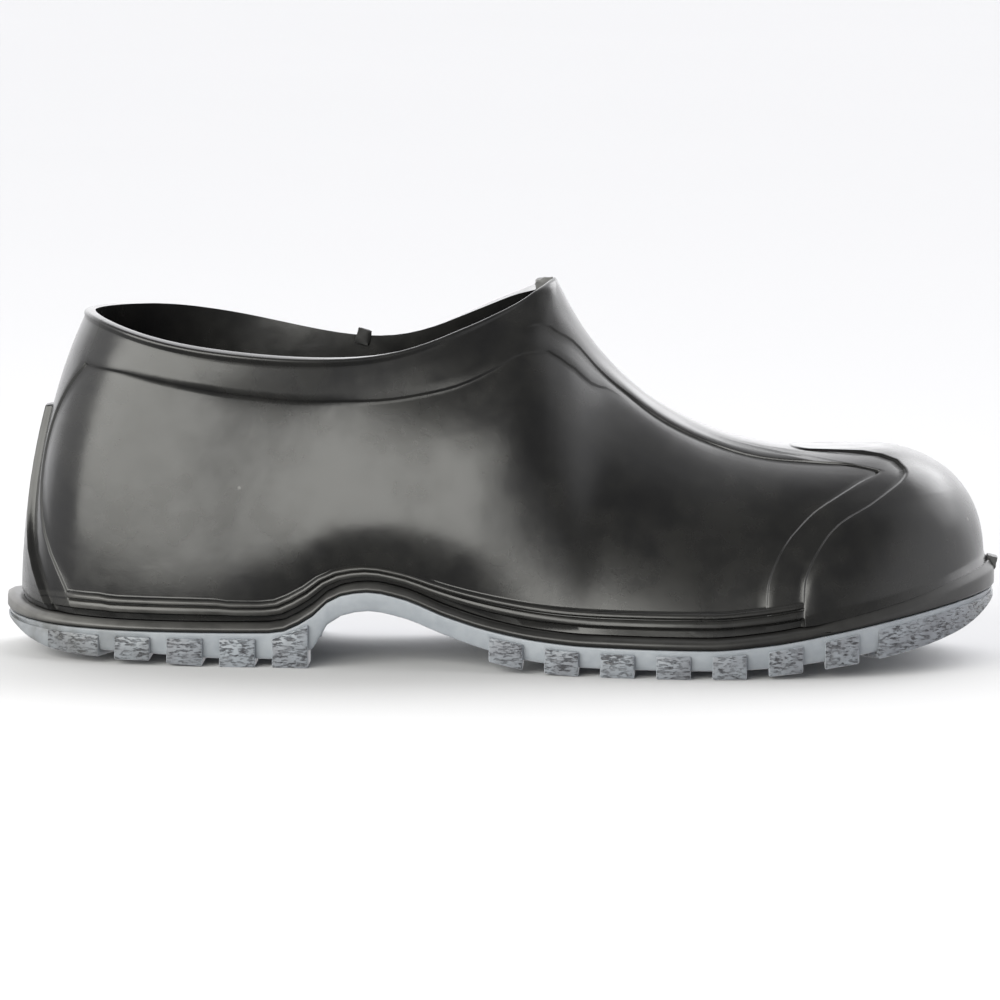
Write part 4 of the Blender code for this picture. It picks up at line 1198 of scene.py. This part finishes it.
def buildWorld():
    world = bpy.data.worlds.new("studio")
    bpy.context.scene.world = world
    world.use_nodes = True
    tree = world.node_tree
    direction = addNode(tree, "ShaderNodeTexCoord").outputs["Generated"]
    parts = addNode(tree, "ShaderNodeSeparateXYZ", None, i0=direction).outputs
    behind = rangeNode(tree, parts["Y"], *studio["backEdge"], studio["frontGlow"], studio["backGlow"])
    for fall in ("backLow", "backHigh"):
        behind = mathNode(tree, "MULTIPLY", behind, rangeNode(tree, parts["Z"], *studio[fall]))
    glow = behind
    for side in ("toe", "heel"):
        beside = rangeNode(tree, parts["X"], *studio[side + "Edge"], studio["frontGlow"],
                           studio[side + "Glow"])
        beside = mathNode(tree, "MULTIPLY", beside, rangeNode(tree, parts["Z"], *studio[side + "Low"]))
        glow = mathNode(tree, "MAXIMUM", glow, beside)
    for panel in studio["panels"]:
        middle = towardsFrom(panel["azimuth"], panel["elevation"])
        near = addNode(tree, "ShaderNodeVectorMath", {"operation": "DOT_PRODUCT"}, i0=direction, i1=middle)
        shine = rangeNode(tree, near.outputs["Value"], *panel["edge"], 0.0, panel["glow"])
        glow = mathNode(tree, "ADD", glow, shine)
    background = tree.nodes["Background"]
    background.inputs["Color"].default_value = studio["tint"]
    tree.links.new(glow, background.inputs["Strength"])


def buildSoftbox():
    box = studio["softbox"]
    towards = towardsFrom(box["azimuth"], box["elevation"])
    light = bpy.data.lights.new("softbox", "AREA")
    light.shape = "RECTANGLE"
    light.size, light.size_y = box["size"]
    light.energy = box["radiance"] * math.pi * box["size"][0] * box["size"][1]
    light.color = box["colour"]
    lamp = bpy.data.objects.new("softbox", light)
    bpy.context.scene.collection.objects.link(lamp)
    lamp.location = Vector(box["aim"]) + towards * box["distance"]
    roll = Quaternion((0, 0, 1), math.radians(box["roll"]))
    lamp.rotation_euler = (towards.to_track_quat("Z", "Y") @ roll).to_euler()


camera = {
    "azimuth": 2.0,
    "elevation": 6.988,
    "roll": 0.438,
    "distance": 2.0,
    "lens": 228.12,
    "sensor": 36,
    "clip": (0.05, 60),
    "aim": (0.0, 0.00065, 0.055),
    "slide": (-0.00028, -0.00682),  # right and up, to frame the shoe
}


def buildCamera():
    azimuth, roll = math.radians(camera["azimuth"]), math.radians(camera["roll"])
    back = towardsFrom(camera["azimuth"], camera["elevation"])
    right = Vector((math.cos(azimuth), math.sin(azimuth), 0))
    up = back.cross(right)
    right, up = (right * math.cos(roll) + up * math.sin(roll),
                 up * math.cos(roll) - right * math.sin(roll))
    data = bpy.data.cameras.new("camera")
    data.lens = camera["lens"]
    data.sensor_width = camera["sensor"]
    data.clip_start, data.clip_end = camera["clip"]
    eye = bpy.data.objects.new("camera", data)
    bpy.context.scene.collection.objects.link(eye)
    turn = Matrix((right, up, back)).transposed().to_4x4()
    place = Vector(camera["aim"]) + back * camera["distance"]
    place += right * camera["slide"][0] + up * camera["slide"][1]
    eye.matrix_world = Matrix.Translation(place) @ turn
    bpy.context.scene.camera = eye


buildFloor()
buildWorld()
buildSoftbox()
buildCamera()
bpy.context.scene.view_settings.view_transform = "Standard"
print("studio set")
